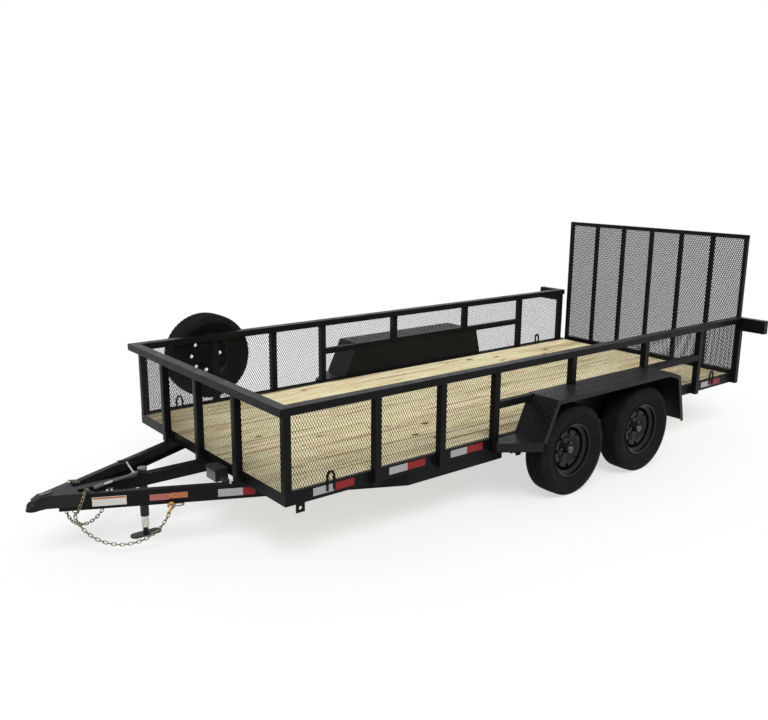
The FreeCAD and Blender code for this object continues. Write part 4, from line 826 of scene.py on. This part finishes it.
def plate_lugs(shape, corner, along, across, outward):
    """Fills a flat strip with bars set at right angles in turn, raised to the outward side."""
    length, width = along.length, across.length
    along, across = along.normalized(), across.normalized()
    normal = along.cross(across)
    if normal.dot(outward) < 0:
        corner, across, normal = corner + across * width, -across, -normal
    base = Matrix((along, across, normal)).transposed().to_4x4()
    rows = int(width / LUG_PITCH)
    columns = int(length / LUG_PITCH)
    step = Vector((length / columns, width / rows, 0))
    matrices = []
    for i in range(columns):
        for j in range(rows):
            turn = pi / 4 if (i + j) % 2 else -pi / 4
            place = corner + along * step.x * (i + 0.5) + across * step.y * (j + 0.5)
            matrices.append(Matrix.Translation(place) @ base @ Matrix.Rotation(turn, 4, "Z"))
    shape.add_copies(*lug(), matrices)


def build_tread_plate():
    for name, side in SIDES:
        shape = Shape()
        edge = side * (POST_OUTER + LUG_MARGIN)
        across = Vector((0, side * (FENDER_OUTER - POST_OUTER - 2 * LUG_MARGIN), 0))
        for (x0, z0), (x1, z1) in zip(FENDER_PATH, FENDER_PATH[1:]):
            middle = Vector(((x0 + x1) / 2, 0, (z0 + z1) / 2))
            plate_lugs(shape, Vector((x0, edge, z0)), Vector((x1 - x0, 0, z1 - z0)), across,
                       middle - Vector(WHEELS_MIDDLE))
        plate_lugs(shape, Vector((STEP_RUN[0], edge, FENDER_PATH[0][1])),
                   Vector((STEP_RUN[1] - STEP_RUN[0], 0, 0)), Vector((0, side * STEP_WIDTH, 0)),
                   Vector((0, 0, 1)))
        make_piece(f"tread_plate_{name}", shape, FENDER, smooth=25)


def extruded(outline, low, high):
    """A closed slab: an outline of (x, z) points between two values of y."""
    count = len(outline)
    area = sum(outline[i - 1][0] * outline[i][1] - outline[i][0] * outline[i - 1][1]
               for i in range(count))
    if (area > 0) == (high > low):
        outline = outline[::-1]
    points = [(x, y, z) for y in (low, high) for x, z in outline]
    return points, ring_faces(2, count, cap=True)


def build_fender_liners():
    """Closes each fender on the bed's side, in the 50 mm that the posts stand out."""
    knee, foot = Vector(FENDER_PATH[3]), Vector(FENDER_PATH[4])
    rear_low = knee.lerp(foot, (knee.y - RAIL_TOP) / (knee.y - foot.y))
    for name, side in SIDES:
        shape = Shape()
        shape.add(*extruded([*FENDER_PATH[:4], rear_low], side * LINER_PLANE[0],
                            side * LINER_PLANE[1]))
        for first in LINED_SLOPES:
            low, high = Vector(FENDER_PATH[first]), Vector(FENDER_PATH[first + 1])
            inward = Vector((low.y - high.y, high.x - low.x)).normalized() * LINER_SHEET
            shape.add(*extruded([low, high, high + inward, low + inward],
                                side * LINER_PLANE[1], side * POST_OUTER))
        make_piece(f"fender_liner_{name}", shape, FENDER)


# Tape and labels

BEAM_TAPES = (("white", -0.153, 0, TAPE_WHITE), ("red", -0.232, -0.153, TAPE_RED))
LABEL_PLACE, STICKER_PLACE = (2.724, 0.368), (2.425, 0.368)
LABELS = (
    ("label_sheet", LABEL_PLACE, (-0.200, 0, -0.030), (0, 0.0004, 0.028), LABEL_WHITE),
    ("label_header", LABEL_PLACE, (-0.196, 0, 0.014), (-0.004, 0.0007, 0.0255), LABEL_ORANGE),
    ("sticker_left", STICKER_PLACE, (-0.118, 0, -0.020), (-0.004, 0.0005, 0.020), LABEL_RED),
    ("sticker_right", STICKER_PLACE, (-0.232, 0, -0.015), (-0.118, 0.0005, 0.022), LABEL_ORANGE))


def slab(name, low, high, surface, place=None):
    box_piece(name, [(low, high)], surface, SLAB_EDGE, 1, place)


def on_beam(x, out, z, side=1):
    """A point by a tongue beam's outer face, this far out from it."""
    return Vector((x + out * sin(BEAM_ANGLE),
                   side * ((BEAM_FRONT - x) * tan(BEAM_ANGLE) + out * cos(BEAM_ANGLE)),
                   z))


def beam_frame(x, z, side=1):
    """A frame on a beam's outer face: X forward along the beam, Y outwards, Z up."""
    turn = Matrix.Rotation(-BEAM_ANGLE, 4, "Z")
    place = Matrix.Translation(on_beam(x, 0, z)) @ turn
    return place if side > 0 else Matrix.Scale(-1, 4, (0, 1, 0)) @ place


def build_tape():
    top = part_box("side_rails")[1].z - RAIL_TAPE_DROP
    for side_name, side in SIDES:
        y = sorted((side * RAIL_SIDE, side * (RAIL_SIDE + TAPE_THICKNESS)))
        for index, start in enumerate(TAPE_STARTS):
            for front, (colour, _, _, surface) in zip((start, start - TAPE_LENGTH), BEAM_TAPES):
                slab(f"tape_{side_name}_{index}_{colour}",
                     (front - TAPE_LENGTH, y[0], top - TAPE_HEIGHT), (front, y[1], top), surface)
        for colour, rear, front, surface in BEAM_TAPES:
            slab(f"beam_tape_{side_name}_{colour}", (rear, 0, -TAPE_HEIGHT / 2),
                 (front, TAPE_THICKNESS, TAPE_HEIGHT / 2), surface,
                 beam_frame(*BEAM_TAPE_PLACE, side))
    for name, at, low, high, surface in LABELS:
        slab(name, low, high, surface, beam_frame(*at))


# Safety chains

def link_shape(length, width, wire):
    """A round-wire link, its length along X and flat in XY."""
    r = width / 2 - wire
    straight = length / 2 - width / 2
    path = [(side * (straight + r * cos(t)), side * r * sin(t), 0)
            for side in (1, -1) for t in np.linspace(-pi / 2, pi / 2, 7)]
    return swept(path, wire, 8, closed=True)


def hung_arc(start, end, length):
    """The arc of this length that hangs between two points at one height."""
    run = (end - start).length
    across = (end - start).normalized()
    low, high = 0.0, pi
    for _ in range(60):
        half = (low + high) / 2
        low, high = (half, high) if sin(half) * length > run * half else (low, half)
    radius = length / (2 * half)
    middle = (start + end) * 0.5 + Vector((0, 0, radius * cos(half)))
    return [middle + across * radius * sin(t) - Vector((0, 0, radius * cos(t)))
            for t in np.linspace(-half, half, ARC_STEPS)]


def turned_links(shape, places, outward):
    """Adds links at the places, each turned a quarter from the one before."""
    link = link_shape(LINK_PITCH + 4 * LINK_WIRE - LINK_PLAY, LINK_WIDTH, LINK_WIRE)
    matrices = []
    for index, (middle, heading) in enumerate(places):
        side = (outward - heading * outward.dot(heading)).normalized()
        base = Matrix((heading, side, heading.cross(side))).transposed().to_4x4()
        matrices.append(Matrix.Translation(middle) @ base
                        @ Matrix.Rotation(LINK_ROLLS[index % 2], 4, "X"))
    shape.add_copies(*link, matrices)


def chain_staple(shape, x, side):
    """Round rod bent into a staple under the beam, legs up to its flange."""
    path = curve_through([on_beam(x + a, -CHAIN_INSET * cos(BEAM_ANGLE), z, side)
                          for a, z in STAPLE_PATH], 4)
    shape.add(*swept(path, STAPLE_WIRE, 10))


def slip_hook(shape, eye, bar, ahead):
    """A forged slip hook from the chain's last link to the bar that it hangs on."""
    up = (bar - eye).normalized()
    across = (ahead - up * ahead.dot(up)).normalized()
    reach = (bar - eye).length
    outline = [(0.008, 0.0), (0.022, -0.002), (reach - 0.030, -0.010), (reach - 0.008, -0.0165),
               (reach + 0.009, -0.0135), (reach + 0.0165, 0.0), (reach + 0.010, 0.0135),
               (reach - 0.006, 0.0165), (reach - 0.017, 0.0135), (reach - 0.024, 0.0165)]
    path = curve_through([eye + up * u + across * v for u, v in outline], 3)
    radii = [HOOK_THIN + HOOK_SWELL * sin(pi * min(1.0, k / len(path) * 1.15))
             for k in range(len(path))]
    shape.add(*swept(path, radii, 12))
    shape.add(*swept([eye + (up * cos(t) + across * sin(t)) * EYE_RADIUS
                      for t in round_turns(16)], EYE_WIRE, 8, closed=True))


def build_chains():
    links, rods, hooks = Shape(), Shape(), Shape()
    stud, washer = hex_nut(*STUD_NUT), lathe(WASHER, 20, cap=True)
    for side, rear_x, count in CHAINS:
        outward = Vector((sin(BEAM_ANGLE), side * cos(BEAM_ANGLE), 0))
        start, end = [Vector((x, side * ((BEAM_FRONT - x) * tan(BEAM_ANGLE) - CHAIN_INSET),
                              CHAIN_END_Z)) for x in (CHAIN_FRONT_X, rear_x)]
        lead = curve_through([on_beam(*place, side) for place in CHAIN_LEAD] + [start], 6)
        arc = hung_arc(start, end, CAD_PITCH * (count - 1))
        if side > 0:
            arc = arc[:-2]
            ahead = Vector((outward.y, -outward.x, 0))
            slip_hook(hooks, arc[-1] + Vector((0, 0, EYE_LIFT)), on_beam(*RING_BAR), ahead)
        turned_links(links, spaced(lead[:-1] + arc, LINK_PITCH), outward)
        if side < 0:
            chain_staple(rods, rear_x, side)
        chain_staple(rods, CHAIN_FRONT_X, side)
        stand = [Matrix.Translation(on_beam(*CHAIN_STUD, side)) @ UPRIGHT]
        rods.add_copies(*stud, stand).add_copies(*washer, stand)
    ring = [beam_frame(*RING_PLACE) @ Vector((run + RING_RADIUS * cos(t),
                                              RING_BAR[1] + RING_RADIUS * sin(t), 0))
            for run, first, last in RING_ENDS for t in np.linspace(first, last, 9)]
    rods.add(*swept(ring, RING_WIRE, 10, closed=True))
    chain = make_piece("chain_links", links, CHAIN_ZINC, smooth=50)
    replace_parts(chain, "safety_chains")
    make_piece("chain_rods", rods, DARK_STEEL, smooth=40)
    make_piece("chain_hook", hooks, HOOK_BRASS, smooth=50)


# Small fittings

CASE_LIP = 0.004
LID_HEIGHT = 0.014
LID_PANEL = (0.012, 0.018, -0.001), (0.016, 0.018, -0.002)
CASE_RIBS = (0.25, 0.5, 0.75)
CASE_MARGIN = 0.006
RIB_HALF, RIB_RISE = 0.003, 0.0018
FACE_MARGIN, FACE_RISE = 0.010, 0.0012
BOLT_HEAD = (0.013, 0.008, 0.005)
BEAM_BOLTS = ((1.968, 0.480), (1.976, 0.502), (2.634, 0.163), (2.610, 0.175))
LOOM_PATH = ((1.966, 0.3485, 0.424), (1.974, 0.375, 0.412), (1.975, 0.425, 0.409),
             (1.972, 0.458, 0.4305))
LOOM_RADIUS = 0.0115
SWITCH_FRONT, CABLE_END = (2.690, 0.094, 0.4365), (2.377, 0.016, 0.4435)
SWITCH_PROFILE = ((0.006, 0.0), (0.0095, 0.001), (0.0105, 0.006), (0.0105, 0.052), (0.0090, 0.055),
                  (0.0090, 0.060), (0.0112, 0.061), (0.0112, 0.066), (0.0085, 0.070))
PIN_PROFILE = ((0.0066, 0.069), (0.0072, 0.072), (0.0072, 0.112), (0.0078, 0.114), (0.0078, 0.128),
               (0.0052, 0.132))
BRACKET, BRACKET_PLACE = ((-0.030, -0.078, 0), (0.008, 0.0, 0.003)), (2.640, 0.4222)
COIL_FROM = 0.130
COIL_PITCH = 0.0021
COIL_RADIUS = 0.0068


def build_battery():
    """Battery case with ribs and a lid, its grey front panel, and the loom behind it."""
    low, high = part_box("breakaway_box")
    front, left, under = high.x - CASE_LIP, high.y - CASE_LIP, high.z - LID_HEIGHT
    case = [(low + Vector((0, CASE_LIP, 0)), (front, left, high.z - LID_HEIGHT * 0.6))]
    for share in CASE_RIBS:
        x = low.x + (high.x - low.x) * share
        case.append(((x - RIB_HALF, left - 0.001, low.z + CASE_MARGIN),
                     (x + RIB_HALF, left + RIB_RISE, under - CASE_LIP)))
    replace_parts(box_piece("battery_case", case, PLASTIC, 0.0025),
                "breakaway_box")
    lid = [((low.x, low.y, under), high),
           (Vector((low.x, low.y, high.z)) + Vector(LID_PANEL[0]), high - Vector(LID_PANEL[1]))]
    box_piece("battery_lid", lid, PLASTIC, 0.002)
    panel = [((front - 0.001, low.y + FACE_MARGIN, low.z + CASE_MARGIN),
              (front + FACE_RISE, high.y - FACE_MARGIN, under - CASE_LIP))]
    box_piece("battery_panel", panel, CASE_FACE, 0.0008, 1)
    copied("beam_bolts", hex_nut(*BOLT_HEAD), [
        Matrix.Translation((x, y, BEAM_TOP)) @ UPRIGHT for x, y in BEAM_BOLTS], ZINC, 30)
    rippled("wire_loom", curve_through(LOOM_PATH, 24), LOOM_RADIUS, 0.86, 14, PLASTIC)


def build_switch():
    """The breakaway switch on its bracket, its pin, and the coiled cable held at the jack."""
    start, end = Vector(SWITCH_FRONT), Vector(CABLE_END)
    along = (end - start).normalized()
    turn = Vector((0, 1, 0)).rotation_difference(along).to_matrix().to_4x4()
    place = [Matrix.Translation(start) @ turn]
    copied("switch_body", lathe(SWITCH_PROFILE, 28, cap=True), place, CASE_FACE, 35)
    copied("switch_pin", lathe(PIN_PROFILE, 24, cap=True), place, LABEL_WHITE, 35)
    coil = [start + along * d for d in np.arange(COIL_FROM, (end - start).length, COIL_PITCH)]
    rippled("breakaway_cable", coil, COIL_RADIUS, 0.78, 12, CABLE_GREY)
    box_piece("switch_bracket", [BRACKET], BLACK, 0.0008, 1,
              beam_frame(*BRACKET_PLACE))


# Welds

WELD_RADIUS = 0.0032
WELD_STEP = 0.0022
COUPLER_JOINT = (2.7795, 0.0005)


def weld_run(shape, start, end):
    """A rippled bead between two points, its ends drawn in."""
    start, end = Vector(start), Vector(end)
    count = max(int((end - start).length / WELD_STEP), 4)
    path = [start.lerp(end, k / count) for k in range(count + 1)]
    radii = [WELD_RADIUS * (0.6 if k in (0, count) else 0.86 + 0.16 * cos(k * 2.1))
             for k in range(count + 1)]
    shape.add(*swept(path, radii, 6))


def weld_round(shape, low, high, z):
    corners = outline_at(low, high, z)
    for a, b in zip(corners, corners[1:] + corners[:1]):
        weld_run(shape, a, b)


def build_welds():
    shape = Shape()
    for side in (1, -1):
        y = sorted((side * RAIL_SIDE, side * POST_OUTER))
        for x in SIDE_POSTS + FENDER_POSTS:
            foot = (x - POST_HALF, y[0]), (x + POST_HALF, y[1])
            weld_round(shape, *foot, TOP_RAIL_LOW)
            if x in FENDER_POSTS:
                weld_round(shape, *foot, FENDER_TOP)
            else:
                for edge in (x - POST_HALF, x + POST_HALF):
                    weld_run(shape, (edge, side * RAIL_SIDE, RAIL_LOW),
                             (edge, side * RAIL_SIDE, RAIL_HIGH))
        weld_run(shape, *[beam_frame(COUPLER_JOINT[0], z, side) @ Vector((0, COUPLER_JOINT[1], 0))
                          for z in (BEAM_BOTTOM + 0.004, BEAM_TOP - 0.004)])
    for low, high in front_uprights():
        weld_round(shape, low, high, TOP_RAIL_LOW)
        if low.z > RAIL_LOW:
            weld_round(shape, low, high, low.z)
        else:
            for edge in (low.y, high.y):
                weld_run(shape, (low.x, edge, RAIL_LOW), (low.x, edge, RAIL_HIGH))
    make_piece("weld_beads", shape, WELD, smooth=60)


# Materials of the CAD nodes that stay

TUBE_EDGE = 0.003
PLATE_EDGE = 0.0012
LENS_EDGE = 0.002
SAME_POINT = 0.00002

NODE_FINISHES = (
    (BLACK, TUBE_EDGE, ("side_posts", "mid_rails", "top_rail", "gate_frame")),
    (BLACK, PLATE_EDGE, ("side_rails", "end_rails", "floor_crossmembers", "tongue_beams",
                         "tongue_centre_tube", "gate_hinges", "lamp_boxes")),
    (COUPLER, PLATE_EDGE, ("coupler",)),
    (BLACK, 0, ("tie_downs", "spare_mount")),
    (FENDER, PLATE_EDGE, ("fenders",)),
    (UNDER, 0, ("axles", "leaf_springs", "spring_hangers", "equalisers")),
    (RIM, 0, [f"rim_{wheel}" for wheel, side in WHEELS] + ["spare_rim"]),
    (CAP_ZINC, 0, ("jack_tube",)),
    (LEG_ZINC, 0, ("jack_leg",)),
    (CRANK_ZINC, 0, ("jack_crank",)),
    (LATCH_STEEL, PLATE_EDGE, ("coupler_latch",)),
    (LENS, LENS_EDGE, ("tail_lamps",)))


def dress_nodes():
    """CAD nodes that stay, with a better material and, where asked, eased edges."""
    for surface, edge, names in NODE_FINISHES:
        for node in (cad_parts[name] for name in names):
            if not node.material_slots:
                node.data.materials.append(surface)
            for entry in node.material_slots:
                entry.link = "OBJECT"
                entry.material = surface
            if edge:
                node.modifiers.new("weld", "WELD").merge_threshold = SAME_POINT
                add_bevel(node, edge)


# Camera, floor and light

def photo_camera():
    turn = Matrix.Rotation(CAMERA_YAW - pi / 2, 4, "Z") \
        @ Matrix.Rotation(pi / 2 - CAMERA_PITCH, 4, "X") \
        @ Matrix.Rotation(CAMERA_ROLL, 4, "Z")
    data = bpy.data.cameras.new("photo_camera")
    data.sensor_width = SENSOR_WIDTH
    data.lens = FOCAL_PIXELS * SENSOR_WIDTH / IMAGE_WIDTH
    data.shift_x = -PRINCIPAL_OFFSET[0] / IMAGE_WIDTH
    data.shift_y = PRINCIPAL_OFFSET[1] / IMAGE_WIDTH
    data.clip_end = 200
    camera = place_object("photo_camera", data)
    camera.matrix_world = Matrix.Translation(CAMERA_PLACE) @ turn
    bpy.context.scene.camera = camera


FLOOR_COLOUR = 0.92
FLOOR_HALF = 60.0
NEAR_RING, FAR_RING = 3.0, 8.0
NEAR_WHITE = 0.60
SKY_STRENGTH = 0.66
SUN_STRENGTH = 1.9
SUN_TURN = (radians(38), 0, radians(150))
SUN_SPREAD = radians(30)


def floor_material():
    """White floor that keeps a soft shadow near the trailer and runs into the white beyond."""
    look = Look("floor_white", (FLOOR_COLOUR,) * 3, 0.9, shine=0.0)
    away = look.add("VectorMath", {"operation": "LENGTH"},
                    i0=look.place()).outputs["Value"]
    reach = look.add("MapRange", Value=away, From_Min=NEAR_RING, From_Max=FAR_RING,
                     To_Min=NEAR_WHITE, To_Max=1.0).outputs[0]
    glow = look.add("Emission", Color=(1, 1, 1, 1), Strength=1.0)
    look.show_mixed("Material Output", look.maths("MULTIPLY", reach, look.seen()), look.shader,
                    glow)
    return look.material


def build_studio():
    corners = [(-1, -1), (1, -1), (1, 1), (-1, 1)]
    mesh = bpy.data.meshes.new("floor")
    mesh.from_pydata([(FLOOR_HALF * x, FLOOR_HALF * y, 0) for x, y in corners], [],
                     [(0, 1, 2, 3)])
    mesh.materials.append(floor_material())
    place_object("floor", mesh)

    world = bpy.data.worlds.new("studio")
    bpy.context.scene.world = world
    sky = Nodes(world)
    soft, white = [sky.add("Background", Color=(1, 1, 1, 1), Strength=strength)
                   for strength in (SKY_STRENGTH, 1.0)]
    sky.show_mixed("World Output", sky.seen(), soft, white)

    data = bpy.data.lights.new("sun", "SUN")
    data.energy = SUN_STRENGTH
    data.angle = SUN_SPREAD
    place_object("sun", data).rotation_euler = SUN_TURN
    bpy.context.scene.view_settings.view_transform = "Standard"


photo_camera()
build_studio()
dress_nodes()
build_mesh()
build_front_posts()
build_deck_edges()
build_deck()
build_tyres()
build_hubs()
build_tread_plate()
build_fender_liners()
build_tape()
build_chains()
build_battery()
build_switch()
build_welds()
